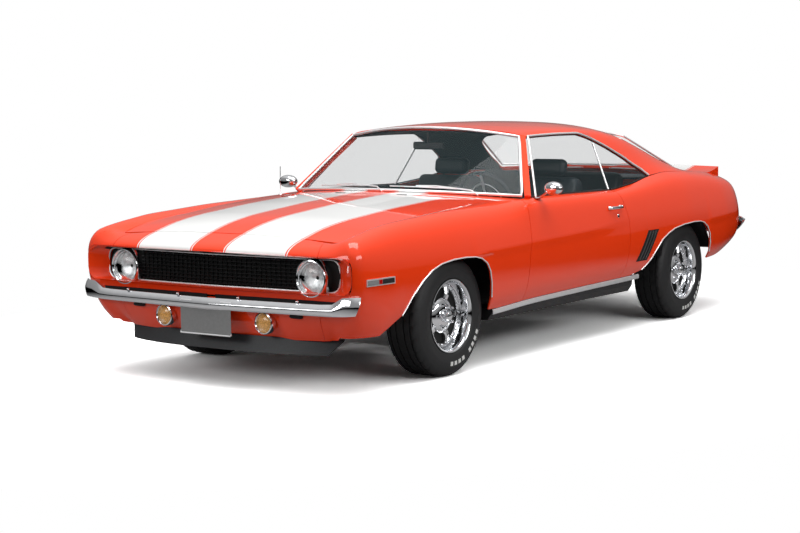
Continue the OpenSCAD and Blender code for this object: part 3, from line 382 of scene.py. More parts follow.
# textured: scale of the pattern, spread of colour and of roughness, bump, its depth, kind of pattern
M = {
    "paint": paint("paint_red"),
    "stripe": striped(paint("paint_striped")),
    "cowl": striped(paint("paint_cowl"), 0.30),
    "black": textured(shader("black_satin", (0.012, 0.012, 0.013), 0.45), 60, 0.2, 0.08, 0.05),
    # painted shade: near-black sheets and fills put where there is only shadow, in openings, slots, recesses
    # and behind the grille, bumper and rims
    "void": textured(shader("shadow_black", (0.004, 0.004, 0.004), 0.8), 30, 0.2, 0.05, 0.0),
    "grille": textured(shader("grille_black", (0.008, 0.008, 0.009), 0.32), 90, 0.2, 0.06, 0.02),
    "chrome": textured(shader("chrome", (0.80, 0.81, 0.83), 0.07, 1.0), 25, 0.03, 0.03, 0.006),
    "bright": textured(shader("bright_trim", (0.92, 0.92, 0.93), 0.3, 0.6), 30, 0.02, 0.02, 0.0),
    "steel": textured(shader("chassis_black", (0.03, 0.03, 0.032), 0.5), 35, 0.3, 0.12, 0.15, 0.001),
    "pipe": textured(shader("exhaust_steel", (0.45, 0.43, 0.41), 0.35, 1.0), 22, 0.25, 0.15, 0.08),
    "tyre": textured(shader("tyre_rubber", (0.012, 0.012, 0.013), 0.55), 120, 0.25, 0.1, 0.1, 0.0006),
    "mark": textured(shader("tyre_white", (0.70, 0.70, 0.68), 0.6), 80, 0.08, 0.05, 0.05),
    "vinyl": textured(shader("seat_vinyl", (0.022, 0.030, 0.036), 0.42),
                      420, 0.2, 0.08, 0.35, 0.0006, "voronoi"),
    "dash": textured(shader("dash_plastic", (0.018, 0.026, 0.032), 0.5),
                     300, 0.2, 0.08, 0.25, 0.0005, "voronoi"),
    "liner": textured(shader("headliner", (0.03, 0.036, 0.042), 0.8), 200, 0.2, 0.05, 0.2, 0.0006),
    "rubber": textured(shader("seal_rubber", (0.01, 0.01, 0.01), 0.6), 60, 0.2, 0.08, 0.05),
    "dam": textured(shader("dam_rubber", (0.022, 0.025, 0.028), 0.5), 90, 0.2, 0.08, 0.08),
    "plate": textured(shader("plate_grey", (0.23, 0.23, 0.23), 0.45), 70, 0.05, 0.05, 0.02),
    "amber": textured(shader("amber_lens", (0.85, 0.42, 0.12), 0.12, coat=0.6),
                      160, 0.25, 0.05, 0.3, 0.002, "voronoi"),
    "red_lens": textured(shader("red_lens", (0.45, 0.008, 0.006), 0.1, coat=1.0),
                         150, 0.2, 0.05, 0.2, 0.001, "voronoi"),
    "reflector": textured(shader("lamp_reflector", (0.80, 0.81, 0.82), 0.4, 0.75),
                          55, 0.15, 0.06, 0.3, 0.003, "voronoi"),
    "glass": shader("window_glass", (0.05, 0.09, 0.10), 0.0, coat=1.0, Alpha=0.09),
    "lens": textured(shader("lamp_glass", (0.97, 0.98, 0.98), 0.02, Transmission_Weight=1.0, IOR=1.3),
                     30, 0.0, 0.02, 0.15, 0.002, "voronoi"),
}


# ---------------------------------------------------------------- mesh building
def build(name, verts, faces, mats, body, node_names=(), slot_name=None, sharp=38, face_mats=None):
    """Mesh object from points and faces, riding on a CAD body and standing for CAD nodes."""
    mesh = bpy.data.meshes.new(name)
    v = np.array(verts, float) * MM
    mesh.from_pydata(v.tolist(), [], faces)
    for key in mats if isinstance(mats, (list, tuple)) else [mats]:
        mesh.materials.append(M[key])
    if face_mats is not None:
        mesh.polygons.foreach_set("material_index", face_mats)
    mesh.validate()
    mesh.polygons.foreach_set("use_smooth", [True] * len(mesh.polygons))
    mesh.update()
    mesh.set_sharp_from_angle(angle=math.radians(sharp))
    o = bpy.data.objects.new(name, mesh)
    bpy.context.scene.collection.objects.link(o)
    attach(o, body)
    if node_names:
        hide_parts(*node_names)
    return o


def grid_normals(g):
    a = np.gradient(g, axis=0)
    b = np.gradient(g, axis=1)
    n = np.cross(a, b)
    return n / np.maximum(1e-9, np.linalg.norm(n, axis=2, keepdims=True))


def closed(outer, inner, flip=False):
    """Vertices and quads of the closed solid between two grids, outer side first."""
    n, m = outer.shape[:2]
    verts = np.vstack([outer.reshape(-1, 3), inner.reshape(-1, 3)])
    k = n * m
    faces = []
    for i in range(n - 1):
        for j in range(m - 1):
            a, b, c, d = i * m + j, (i + 1) * m + j, (i + 1) * m + j + 1, i * m + j + 1
            faces.append((a, b, c, d))
    skin = len(faces)
    for i in range(n - 1):
        for j in range(m - 1):
            a, b, c, d = i * m + j, (i + 1) * m + j, (i + 1) * m + j + 1, i * m + j + 1
            faces.append((k + d, k + c, k + b, k + a))
    ring = ([i * m for i in range(n)] + [(n - 1) * m + j for j in range(1, m)]
            + [i * m + m - 1 for i in range(n - 2, -1, -1)] + [j for j in range(m - 2, 0, -1)])
    for q in range(len(ring)):
        a, b = ring[q], ring[(q + 1) % len(ring)]
        faces.append((b, a, k + a, k + b))
    if flip:
        faces = [tuple(reversed(f)) for f in faces]
    return verts, faces, skin


def parts_of(shells):
    """Joins several (verts, faces) sets."""
    verts, faces, at = [], [], 0
    for v, f in shells:
        verts.append(np.asarray(v, float))
        faces += [tuple(i + at for i in q) for q in f]
        at += len(v)
    return np.vstack(verts), faces


def mirrored(v, f):
    return np.asarray(v) * np.array([1, -1, 1]), [tuple(reversed(q)) for q in f]


def panel(g, t, outward=1):
    """Closed panel of thickness t under grid g; outward says which side its normals point to."""
    g = np.asarray(g, float)
    n = grid_normals(g) * outward
    v, f, _ = closed(g, g - n * t, flip=outward < 0)
    return v, f


def sweep(points, section, closed_path=False, up=(0, 0, 1)):
    """Section (list of (side, up) offsets) carried along points; closed section, capped ends."""
    p = np.asarray(points, float)
    n, m = len(p), len(section)
    rings = []
    for i in range(n):
        a = p[(i - 1) % n] if closed_path else p[max(0, i - 1)]
        b = p[(i + 1) % n] if closed_path else p[min(n - 1, i + 1)]
        d = unit(b - a)
        s = unit(np.cross(d, np.asarray(up, float)))
        w = np.cross(s, d)
        rings += [p[i] + s * q[0] + w * q[1] for q in section]
    faces = []
    for i in range(n if closed_path else n - 1):
        for j in range(m):
            a, b = i * m + j, i * m + (j + 1) % m
            c, d2 = ((i + 1) % n) * m + (j + 1) % m, ((i + 1) % n) * m + j
            faces.append((a, d2, c, b))
    if not closed_path:
        faces.append(tuple(range(m)))
        faces.append(tuple((n - 1) * m + j for j in range(m - 1, -1, -1)))
    return np.array(rings), faces


def circle(r, n=10, ry=None):
    return [(r * math.cos(2 * math.pi * k / n), (ry or r) * math.sin(2 * math.pi * k / n)) for k in range(n)]


def lathe(profile, n=64):
    """Closed ring of (radius, height) points round +Z."""
    m = len(profile)
    verts = [(r * math.cos(2 * math.pi * i / n), r * math.sin(2 * math.pi * i / n), z)
             for i in range(n) for r, z in profile]
    faces = [(i * m + j, ((i + 1) % n) * m + j, ((i + 1) % n) * m + (j + 1) % m, i * m + (j + 1) % m)
             for i in range(n) for j in range(m)]
    return np.array(verts, float), faces


def placed(v, origin, axis):
    """Turns +Z of v to axis and moves it to origin."""
    z = unit(np.asarray(axis, float))
    x = unit(np.cross([0, 0, 1] if abs(z[2]) < 0.9 else [1, 0, 0], z))
    r = np.column_stack([x, np.cross(z, x), z])
    return np.asarray(v) @ r.T + np.asarray(origin, float)


def box_part(lo, hi, r=0.0):
    """Box with bevelled edges of r, as points and faces."""
    lo, hi = np.asarray(lo, float), np.asarray(hi, float)
    prof = [(0, 0), (1, 0), (1, 1), (0, 1)]
    levels = [(lo[2], r), (lo[2] + r, 0), (hi[2] - r, 0), (hi[2], r)] if r else [(lo[2], 0), (hi[2], 0)]
    verts = []
    for z, inset in levels:
        a, b = lo[:2] + inset, hi[:2] - inset
        c = r * 0.8
        if r:
            verts += [(a[0] + c, a[1], z), (b[0] - c, a[1], z), (b[0], a[1] + c, z), (b[0], b[1] - c, z),
                      (b[0] - c, b[1], z), (a[0] + c, b[1], z), (a[0], b[1] - c, z), (a[0], a[1] + c, z)]
        else:
            verts += [(mix(a[0], b[0], q[0]), mix(a[1], b[1], q[1]), z) for q in prof]
    m = 8 if r else 4
    n = len(levels)
    faces = [(i * m + j, i * m + (j + 1) % m, (i + 1) * m + (j + 1) % m, (i + 1) * m + j)
             for i in range(n - 1) for j in range(m)]
    faces.append(tuple(range(m - 1, -1, -1)))
    faces.append(tuple((n - 1) * m + j for j in range(m)))
    return np.array(verts), faces


def spread(a, b, n):
    return [mix(a, b, i / n) for i in range(n + 1)]


SIDES = ((1, "left"), (-1, "right"))
MIRROR = np.array([1, -1, 1])
FORWARD = (1, 0, 0)


def signed(g):
    """1 if the grid's normals point away from the car's middle, else -1."""
    middle = np.array([0, 0, 500.0])
    return 1 if float(((g - middle) * grid_normals(g)).sum()) > 0 else -1


def sunk(g, depth):
    """Grid moved into the car by a depth."""
    return g - grid_normals(g) * signed(g) * depth


def on_hand(s, shape):
    """Points and faces as they are for the left side, mirrored for the right."""
    return shape if s > 0 else mirrored(*shape)


def turned(profile, at, axis, n):
    """Lathe profile set at a point with its +Z along an axis."""
    v, f = lathe(profile, n)
    return placed(v, at, axis), f


def hoop(radius, r, rz, steps, n, z=0.0):
    """Ring of an oval section round +Z."""
    turns = [2 * math.pi * k / steps for k in range(steps)]
    return lathe([(radius + r * math.cos(a), z + rz * math.sin(a)) for a in turns], n)


def ring_faces(n, m):
    """Quads between n rings of m points each."""
    return [(i * m + j, i * m + (j + 1) % m, (i + 1) * m + (j + 1) % m, (i + 1) * m + j)
            for i in range(n - 1) for j in range(m)]


def joined(name, shells, mats, body, nodes=(), slot_name=None, **more):
    """One object from several sets of points and faces."""
    v, f = parts_of(shells)
    return build(name, v, f, mats, body, nodes, slot_name, **more)


def skin(name, grids, t, mats, body, nodes=(), slot_name=None, s=1, **more):
    """One object of panels of thickness t under the grids, mirrored where s is -1."""
    shells = [on_hand(s, panel(g, t, signed(g))) for g in grids]
    return joined(name, shells, mats, body, nodes, slot_name, **more)


def tube(name, points, r, n=8, key="bright", body="body", slot_name="chrome", ring=False):
    """Round bar of trim along points, standing for no CAD node."""
    return joined(name, [sweep(points, circle(r, n), ring)], key, body, [], slot_name)


# ---------------------------------------------------------------- body side
CREASE_FRONT = [[-620, 716], [-570, 713], [-70, 667], [255, 655], [730, 641], [1050, 631], [1340, 624]]
CREASE_REAR = [[-2110, 655], [-2090, 654], [-1560, 627]]


def crease_z(x):
    """Height of the crease line that runs back from each wheel arch, and how strong it is there."""
    if x > -700:
        return look(x, CREASE_FRONT), clamp01((x + 620) / 650) * clamp01((1330 - x) / 60)
    return look(x, CREASE_REAR), clamp01((x + 2200) / 350) * clamp01((-1570 - x) / 40)


def relief(u, z):
    """Outward swell above the crease, falling off sharply below it."""
    zc, k = crease_z(-u)
    d = z - zc
    swell = math.exp(-d / 75) if d >= 0 else clamp01(1 + d / 14)
    return 5.5 * k * swell


def side_point(u, v):
    """Point of the body side with the crease in it."""
    p = side_raw(u, v)
    if abs(folded(u)) < 2300:
        e = side_raw(u + 3, v) - side_raw(u - 3, v)
        f = side_raw(u, min(1, v + 0.01)) - side_raw(u, max(0, v - 0.01))
        n = unit(np.cross(e, f))
        n = n if n[1] * (1 if folded(u) == u else -1) > 0 else -n
        p = p + n * relief(u, p[2])
    return p


def side_columns(us, start, stop, first, last, rows=34, reach=250.0):
    """Grid over the body side with a row along the crease; its end columns follow first(z) and last(z)."""
    ua, ub = us[0], us[-1]
    low = rows // 2
    grid = []
    for u in us:
        v0, v1 = start(u), stop(u)
        vc = v_at(u, crease_z(-u)[0])
        vc = min(max(vc, v0 + 0.12 * (v1 - v0)), v0 + 0.8 * (v1 - v0))
        vs = spread(v0, vc, low) + spread(vc, v1, rows - low)[1:]
        line = []
        for v in vs:
            z = side_z(u, v)
            f = clamp01(1 - (u - ua) / reach) ** 2
            g = clamp01(1 - (ub - u) / reach) ** 2
            line.append(side_point(u + f * (first(z) - ua) + g * (last(z) - ub), v))
        grid.append(line)
    return np.array(grid)


def side_strips(us, low, high, rows):
    """Grid over the plain body side between two edges, each given as v over u."""
    return np.array([[side_raw(u, v) for v in spread(low(u), high(u), rows)] for u in us])


def on_side(u, z, dx=0.0, dy=0.0):
    """Point of the plain body side at a height, moved by dx and dy."""
    return side_raw(u, v_at(u, z)) + np.array([dx, dy, 0])


def side_patch(us, zs, dx=0.0, dy=0.0):
    return np.array([[on_side(u, z, dx, dy) for z in zs] for u in us])


def hem(u):
    return 0.0


def crest(u):
    return 1.0


def above_arch(arch, axle):
    def start(u):
        z = arch_z(u, arch, axle)
        return 0.0 if z <= side_z(u, 0) + 1 else v_at(u, z)
    return start


def arch_columns(arch, axle):
    """Columns over a wheel arch, about 18 mm apart."""
    pts = [row[0] for row in arch[1:-1]]
    out = []
    for a, b in zip(pts[:-1], pts[1:]):
        k = max(1, int(round((b - a) / 18)))
        out += spread(a, b, k)[:-1]
    return [a - axle for a in out + [pts[-1]]]


def opening_edge(z):
    """How far the fender's front edge stands back round the outer end of the grille opening."""
    t = clamp01((z - 512) / 34) * clamp01((672 - z) / 34)
    return FENDER_U + 16 * math.sqrt(t)


def door_front(z):
    return door_u(DOOR_FRONT, z)


def door_rear(z):
    return door_u(DOOR_REAR, z)


front_cols = (spread(FENDER_U, -2040, 16)[:-1] + arch_columns(ARCH_FRONT, AXLE_FRONT)
              + spread(-AXLE_FRONT + 327, door_front(600) - GAP, 16))
fender = side_columns(front_cols, above_arch(ARCH_FRONT, AXLE_FRONT), crest,
                      opening_edge, lambda z: door_front(z) - GAP)
quarter_cols = (spread(door_rear(600) + GAP, -AXLE_REAR - 745, 8)[:-1]
                + arch_columns(ARCH_REAR, AXLE_REAR) + spread(-AXLE_REAR + 312, TAIL_U, 26))
quarter = side_columns(quarter_cols, above_arch(ARCH_REAR, AXLE_REAR), crest,
                       lambda z: door_rear(z) + GAP, lambda z: TAIL_U)
door_skin = side_columns(spread(door_front(600), door_rear(600), 44), hem, crest, door_front, door_rear)

# Nose: header over the grille, outer corners, strip under it and the valance
SEAM_U, LOW_SEAM_U = -2520, -2530
HALF_SEAM = 1.5
STRIP_LOW, VALANCE_HIGH = 470, 458


def lip_z(u):
    """Lower edge of the header, dropping round the opening's outer corner."""
    y = abs(side_raw(u, 0.6)[1])
    return 688 - 5 * clamp01(y / 500) - 38 * clamp01((y - 795) / 70) ** 1.6


def strip_z(u):
    """Upper edge of the strip, rising round the opening's outer corner."""
    y = abs(side_raw(u, 0.4)[1])
    return 507 + 24 * clamp01((y - 790) / 70) ** 1.5


def lip(u):
    return v_at(u, lip_z(u))


header = side_strips(spread(2 * NOSE - SEAM_U + HALF_SEAM, SEAM_U - HALF_SEAM, 60), lip, crest, 10)
header_end = side_strips(spread(SEAM_U + HALF_SEAM, FENDER_U, 14), lip, crest, 10)
strip = np.array([[on_side(u, z) for z in spread(STRIP_LOW, strip_z(u), 4)]
                  for u in spread(2 * NOSE - FENDER_U, FENDER_U, 80)])
valance = side_strips(spread(2 * NOSE - LOW_SEAM_U + HALF_SEAM, LOW_SEAM_U - HALF_SEAM, 50), hem,
                      lambda u: v_at(u, VALANCE_HIGH), 8)
valance_end = side_strips(spread(LOW_SEAM_U + HALF_SEAM, FENDER_U, 14), hem, lambda u: v_at(u, STRIP_LOW), 8)
tail = side_strips(spread(TAIL_U + HALF_SEAM, 2 * TAIL - TAIL_U - HALF_SEAM, 60), hem, crest, 26)

SKIN_T = 9
for label, grids, cad_name in (("fender_skin", [fender, header_end, valance_end], "fenders"),
                               ("quarter_skin", [quarter], "quarter_panels")):
    for s, side_name in SIDES:
        skin(f"{label}_{side_name}", grids, SKIN_T, "paint", "body", [cad_name], "paint", s)
for label, grid, key, cad_name in (("nose_header", header, "stripe", "nose_panel"),
                                   ("nose_strip", strip, "paint", "nose_panel"),
                                   ("valance_skin", valance, "paint", "front_valance"),
                                   ("tail_skin", tail, "paint", "tail_panel")):
    skin(label, [grid], SKIN_T, key, "body", [cad_name], "paint")

# Doors: outer skin in paint, the inner face in cabin plastic
DOOR_INNER_Y = 784
for s, side_name in SIDES:
    inner_face = door_skin.copy()
    inner_face[:, :, 1] = np.minimum(DOOR_INNER_Y, door_skin[:, :, 1] - 20)
    v, f, outer_count = closed(door_skin, inner_face, flip=signed(door_skin) < 0)
    mats = [0] * len(f)
    mats[outer_count:2 * outer_count] = [1] * outer_count
    v, f = on_hand(s, (v, f))
    build(f"door_skin_{side_name}", v, f, ["paint", "dash"], f"door_{side_name}", [f"door_{side_name}"],
          "paint", face_mats=mats)

# ---------------------------------------------------------------- lids, roof
HOOD_FRONT, DECK_FRONT, DECK_REAR = 2178, -1700, -2234


def hood_rear(y):
    return 962 - 92 * (abs(y) / 700) ** 3


def deck_end(y):
    return DECK_REAR + 92 * (abs(y) / 720) ** 4


def lid(front, rear, height, nx, ny):
    """Grid of a lid from its straight front edge to rear(y), inside the fender tops."""
    g = []
    for i in range(nx + 1):
        x0 = mix(front, rear(0), i / nx)
        row = []
        for j in range(ny + 1):
            y = (2 * j / ny - 1) * (edge_y(x0) - GAP)
            x = mix(front - GAP, rear(y), i / nx)
            row.append([x, y, height(x, y)])
        g.append(row)
    return np.array(g)


def upright(top_grid, low_grid):
    """Closed solid between two grids, its first side up."""
    v, f, _ = closed(top_grid, low_grid, flip=grid_normals(top_grid)[2, 2][2] <= 0)
    return v, f


def lid_solid(g, t):
    return upright(g, g - np.array([0, 0, t]))


hood = lid(HOOD_FRONT, hood_rear, hood_z, 50, 56)
joined("hood_skin", [lid_solid(hood, 20)], "stripe", "hood", ["hood"], "paint")
deck = lid(DECK_FRONT, lambda y: deck_end(y) + GAP, deck_z, 24, 50)
joined("deck_skin", [lid_solid(deck, 18)], "stripe", "deck_lid", ["deck_lid"], "paint")


def spoiler_point(k, y):
    x = mix(deck_end(y) + 190, deck_end(y) - 34, k)
    return [x, y, deck_z(x, y) + 3 + 64 * k ** 1.4]


spoiler = np.array([[spoiler_point(i / 10, y) for y in spread(-712, 712, 50)] for i in range(11)])
spoiler_foot = spoiler.copy()
spoiler_foot[:, :, 2] = [[deck_z(p[0], p[1]) + 0.4 for p in row] for row in spoiler]
joined("spoiler_skin", [upright(spoiler, spoiler_foot)], "stripe", "deck_lid", ["rear_spoiler"], "paint",
       sharp=45)


# Edges of the front and back windows over t, from -1 on the right to 1 on the left
def glass_base(t):
    return np.array([838 - 236 * t * t, 812 * t, 919 - 27 * t * t])


def glass_top(t):
    return np.array([403 - 94 * t * t, 596 * t, 1268 - 52 * t * t])


def back_base(t):
    return np.array([-1662 + 120 * t * t, 672 * t, 984 - 8 * t * t])


def back_top(t):
    return np.array([-1080 + 30 * t * t, 556 * t, 1246 - 52 * t * t])


def base_at(t):
    """Lower edge of the windshield glass itself."""
    return glass_base(t) + np.array([0, -20 * t, 2])


def cowl_point(k, t):
    x_end = glass_base(t)[0] + 2
    x0 = mix(hood_rear(abs(t) * 720) - GAP, x_end, k)
    y = t * min(802, edge_y(x0) - GAP)
    x = mix(hood_rear(abs(y)) - GAP, x_end, k)
    return [x, y, hood_z(x, y) - 1]


cowl = np.array([[cowl_point(i / 12, t) for t in spread(-1, 1, 40)] for i in range(13)])
joined("cowl_skin", [lid_solid(cowl, 14)], "cowl", "body", ["cowl_panel"], "paint")


def roof_point(k, t):
    w = mix(1, RAIL_W, abs(t))
    x = mix(look(w, ROOF_FRONT), look(w, BACK_EDGE), k)
    return top(x, w) * np.array([1, 1 if t > 0 else -1, 1])


def sail_point(k, w):
    return top(mix(look(w, SAIL_FRONT), look(w, BACK_EDGE), k), w)


def filler_point(k, t):
    """Panel between the back window and the deck lid."""
    x = mix(back_base(t)[0] - 1, DECK_FRONT + GAP, k)
    y = t * mix(690, 752, k)
    return [x, y, deck_z(x, y)]


ROOF_T = 12
PILLAR_FOOT = glass_base(1) + np.array([-18, 8, -4])
PILLAR_HEAD = glass_top(1) + np.array([-22, 10, 0])
roof = np.array([[roof_point(i / 40, t) for t in spread(-1, 1, 48)] for i in range(41)])
sail = np.array([[sail_point(i / 24, w) for w in spread(0.012, RAIL_W, 16)] for i in range(25)])
filler = np.array([[filler_point(i / 8, t) for t in spread(-1, 1, 30)] for i in range(9)])
shells = [panel(roof, ROOF_T, signed(roof)), lid_solid(filler, 10)]
for s, _ in SIDES:
    shells.append(on_hand(s, panel(sail, ROOF_T, signed(sail))))
    line = [mix(PILLAR_FOOT, PILLAR_HEAD, k / 8) * np.array([1, s, 1]) for k in range(9)]
    shells.append(sweep(line, [(-16, -20), (16, -20), (18, 14), (-4 * s, 22), (-18, 14)]))
joined("roof_skin", shells, "paint", "body", ["roof_shell"], "paint")


def ruled(a, b, nx, ny, bulge):
    """Grid between two edges, bulging upwards in the middle."""
    g = []
    for k in spread(0, 1, nx):
        swell = 4 * bulge * k * (1 - k)
        g.append([mix(a(t), b(t), k) + np.array([0, 0, swell * (1 - t * t)]) for t in spread(-1, 1, ny)])
    return np.array(g)


skin("windshield_glass", [ruled(glass_top, base_at, 16, 24, 10)], 5, "glass", "body", ["windshield"], "glass")
skin("back_glass", [ruled(back_top, back_base, 12, 24, 12)], 5, "glass", "body", ["rear_window"], "glass")


def rail_stop(x):
    """How far up the section the side glass reaches."""
    behind = look(-x, [[-r[1], r[0]] for r in SAIL_FRONT]) - 0.010
    return min(RAIL_W - 0.012, behind + (1 if x > SAIL_START else 0))


def side_glass(front, rear, nx, nw):
    g = []
    for i in range(nx + 1):
        stop = max(0.02, rail_stop(mix(front(0.2), rear(0.2), i / nx)))
        g.append([top(mix(front(w), rear(w), i / nx), w) for w in spread(0.0088, stop, nw)])
    return sunk(np.array(g), 9)


door_glass = side_glass(lambda w: 552 - 660 * w, lambda w: -410 - 90 * w, 20, 12)
quarter_pane = side_glass(lambda w: -425 - 90 * w, lambda w: look(w, SAIL_FRONT) + 14, 12, 10)
for s, side_name in SIDES:
    door = f"door_{side_name}"
    skin(f"door_pane_{side_name}", [door_glass], 4.5, "glass", door, [f"door_glass_{side_name}"], "glass", s)
    skin(f"quarter_pane_{side_name}", [quarter_pane], 4.5, "glass", "body", ["quarter_glass"], "glass", s)

# ---------------------------------------------------------------- cheeks, grille and lamps
GRILLE_Y = 765         # outer end of the black opening
GRILLE_LO, GRILLE_HI = 512, 672
DEPTH = 62             # grille behind the lip


def face_x(y):
    """Front face of the nose across the car."""
    return float(np.interp(abs(y), [0, 500, 838, 907], [2338, 2316, 2296, 2290]))


def loop_at(k, n=18):
    """Outline of the grille opening, from the lip (k = 0) to the recessed grille (k = 1)."""
    half_y = mix(872, GRILLE_Y, k)
    lo, hi = mix(507, GRILLE_LO, k), mix(689, GRILLE_HI, k)
    corner = mix(62, 48, k)
    pts = []
    for cy, cz, a0 in ((half_y - corner, hi - corner, 0), (-half_y + corner, hi - corner, 90),
                       (-half_y + corner, lo + corner, 180), (half_y - corner, lo + corner, 270)):
        for q in range(n):
            a = math.radians(a0 + 90 * q / (n - 1))
            pts.append((cy + corner * math.cos(a), cz + corner * math.sin(a)))
    out = []
    for (y, z), (y2, z2) in zip(pts, pts[1:] + pts[:1]):
        steps = max(1, int(math.hypot(y2 - y, z2 - z) / 40))
        for q in range(steps):
            yy, zz = mix(y, y2, q / steps), mix(z, z2, q / steps)
            out.append([face_x(yy) - 2 - mix(0, DEPTH, k), yy, zz])
    return np.array(out)


def resampled(loop, n=160):
    """The closed loop as n points an even distance apart."""
    p = np.vstack([loop, loop[:1]])
    d = np.concatenate([[0], np.cumsum(np.linalg.norm(np.diff(p, axis=0), axis=1))])
    t = np.linspace(0, d[-1], n, endpoint=False)
    return np.column_stack([np.interp(t, d, p[:, k]) for k in range(3)])


cheek = np.array([resampled(loop_at(k)) for k in (0.0, 0.06, 0.3, 0.65, 1.0)])
n, m = cheek.shape[:2]
v = cheek.reshape(-1, 3)
f = ring_faces(n, m)
middles = [v[list(quad)].mean(0) for quad in f]
# Faces deep in the opening, apart from the lip, the outer ends and the low ledge, take painted shade, near
# black, for the shadow inside the opening.
mats = [0 if abs(p[1]) > 758 or p[2] < 530 or i < m else 1 for i, p in enumerate(middles)]
build("grille_surround", v, f, ["paint", "void"], "body", ["nose_panel"], "paint", face_mats=mats)

bezel = resampled(loop_at(1.0))
fan = [(i, (i + 1) % len(bezel), len(bezel)) for i in range(len(bezel))]
# Flat sheet of painted shade just behind the grille bars, for the dark space behind the opening.
build("grille_shade_plate", np.vstack([bezel, bezel.mean(0)]) - np.array([14, 0, 0]), fan, "void", "body",
      ["grille"], "grille_black")
bars = []
for z in spread(GRILLE_LO + 14, GRILLE_HI - 14, 7):
    pts = [[face_x(y) - DEPTH + 2, y, z] for y in spread(-512, 512, 40)]
    bars.append(sweep(pts, [(-5, -2.2), (5, -1.2), (5, 1.2), (-5, 2.2)]))
for y in spread(-500, 500, 33):
    x = face_x(y) - DEPTH
    bars.append(box_part([x - 8, y - 1.1, GRILLE_LO + 3], [x + 1, y + 1.1, GRILLE_HI - 3]))
joined("grille_bars", bars, "grille", "body", ["grille"], "grille_black")
tube("grille_trim", bezel + np.array([4, 0, 0]), 4.2, ring=True)

HEAD_AT, TURN_AT = (2270, 617, 579), (2284, 330, 345)
LAMP_PARTS = [  # name, place, profile, steps round, material, CAD node, slot
    ("headlight_ring", HEAD_AT,
     [(78, -46), (96, -46), (97, -4), (95, 10), (91, 16), (86, 17), (82, 12), (79, 2)],
     96, "chrome", "headlights", "chrome"),
    ("headlight_bowl", HEAD_AT,
     [(10, -42), (40, -34), (66, -18), (80, 0), (80, -6), (66, -24), (40, -40), (10, -48)],
     72, "reflector", "headlights", "lamp_glass"),
    ("headlight_lens", HEAD_AT,
     [(0.1, 22), (22, 21), (44, 17), (64, 10), (79, 1), (79, -3), (64, 6), (44, 13), (22, 17), (0.1, 18)],
     72, "lens", "headlights", "lamp_glass"),
    ("turn_ring", TURN_AT, [(42, -12), (57, -12), (58, 10), (55, 18), (50, 20), (46, 14), (43, 6)],
     64, "chrome", "turn_lamps", "chrome"),
    ("turn_lens", TURN_AT, [(0.1, 20), (18, 18), (34, 13), (45, 5), (45, -8), (0.1, -8)],
     48, "amber", "turn_lamps", "amber_lens")]
for s, side_name in SIDES:
    for label, at, profile, n, key, cad_name, slot_name in LAMP_PARTS:
        v, f = turned(profile, [at[0], s * at[1], at[2]], FORWARD, n)
        build(f"{label}_{side_name}", v, f, key, "body", [cad_name], slot_name)

# ---------------------------------------------------------------- bumpers, dam, plate
# Run u, lower edge, upper edge, how far out
FRONT_BUMPER = [[-3200, 400, 458, 24], [-2500, 404, 460, 24], [-2440, 405, 463, 24], [-2380, 408, 498, 22],
                [-2300, 414, 502, 18], [-2200, 436, 500, 14]]
REAR_BUMPER = [[2195, 578, 620, 44], [2300, 515, 616, 34], [2420, 492, 600, 24], [3100, 490, 598, 17]]
# Section of a blade: share of its height, share of how far out
BLADE = [(0, 0.55), (0.06, 0.68), (0.2, 0.86), (0.4, 0.98), (0.48, 1.0), (0.56, 0.95), (0.8, 0.56),
         (0.96, 0.22), (1, 0.1)]
FRONT_TIP, REAR_TIP = -2268, 2195


def blade(us, table, slant):
    """Grid of a bumper blade; at its ends the lower edge stops short of the upper by the slant."""
    g = []
    for u in us:
        row = []
        for h, o in BLADE:
            w = u + slant * (1 - h) * (clamp01(1 - (u - us[0]) / 90) - clamp01(1 - (us[-1] - u) / 90))
            near = folded(w)
            lo, hi, out = [look(near, table, c) for c in (1, 2, 3)]
            b = np.array([soft(near, PLAN, 1), soft(near, PLAN, 2)])
            c = unit(b - np.array([soft(near, INNER, 1), soft(near, INNER, 2)]))
            p = b + c * out * o
            row.append([p[0], p[1] * (1 if near == w else -1), mix(lo, hi, h)])
        g.append(row)
    return np.array(g)


skin("front_bumper_blade", [blade(spread(2 * NOSE - FRONT_TIP, FRONT_TIP, 130), FRONT_BUMPER, 42)], 7,
     "chrome", "body", ["front_bumper"], "chrome", sharp=50)
skin("rear_bumper_blade", [blade(spread(REAR_TIP, 2 * TAIL - REAR_TIP, 120), REAR_BUMPER, 0)], 7,
     "chrome", "body", ["rear_bumper"], "chrome", sharp=50)

bolts = [turned([(0.1, 7), (6, 6), (9, 2), (9, -6), (0.1, -6)], [face_x(y) + 6, y, 466], [0.3, 0, 1], 20)
         for y in (-560, -200, 200, 560)]
joined("bumper_bolts", bolts, "chrome", "body", [], "chrome")


def gap_point(u, z):
    """Band of painted shade behind the front blade, a little outside the body side."""
    p = on_side(u, z)
    return p + unit(p - np.array([2000, 0, z])) * 2.2


gap_grid = np.array([[gap_point(u, z) for z in spread(446, 473, 3)] for u in spread(-3180, -2420, 60)])
band = panel(gap_grid, 4, signed(gap_grid))
joined("bumper_shadow_gap", [band, mirrored(*band)], "void", "body", [], "black_paint")
# Boxes of painted shade standing in the two slots under the front bumper.
slots = [box_part([2250, s * 520 - 36, 378], [2291, s * 520 + 36, 398], 6) for s, _ in SIDES]
joined("jack_slots", slots, "void", "body", [], "black_paint")

DAM_Y = 706


def dam_row(y):
    x_top = 2250 - 117 * (abs(y) / DAM_Y) ** 3
    k = clamp01((DAM_Y - abs(y)) / 59)
    return [[x_top + 33 * k * (1 - j / 5), y, mix(mix(262, 193, k), 272, j / 5)] for j in range(6)]


skin("air_dam_blade", [np.array([dam_row(y) for y in spread(-DAM_Y, DAM_Y, 48)])], 7, "dam", "body",
     ["air_dam"], "rubber")

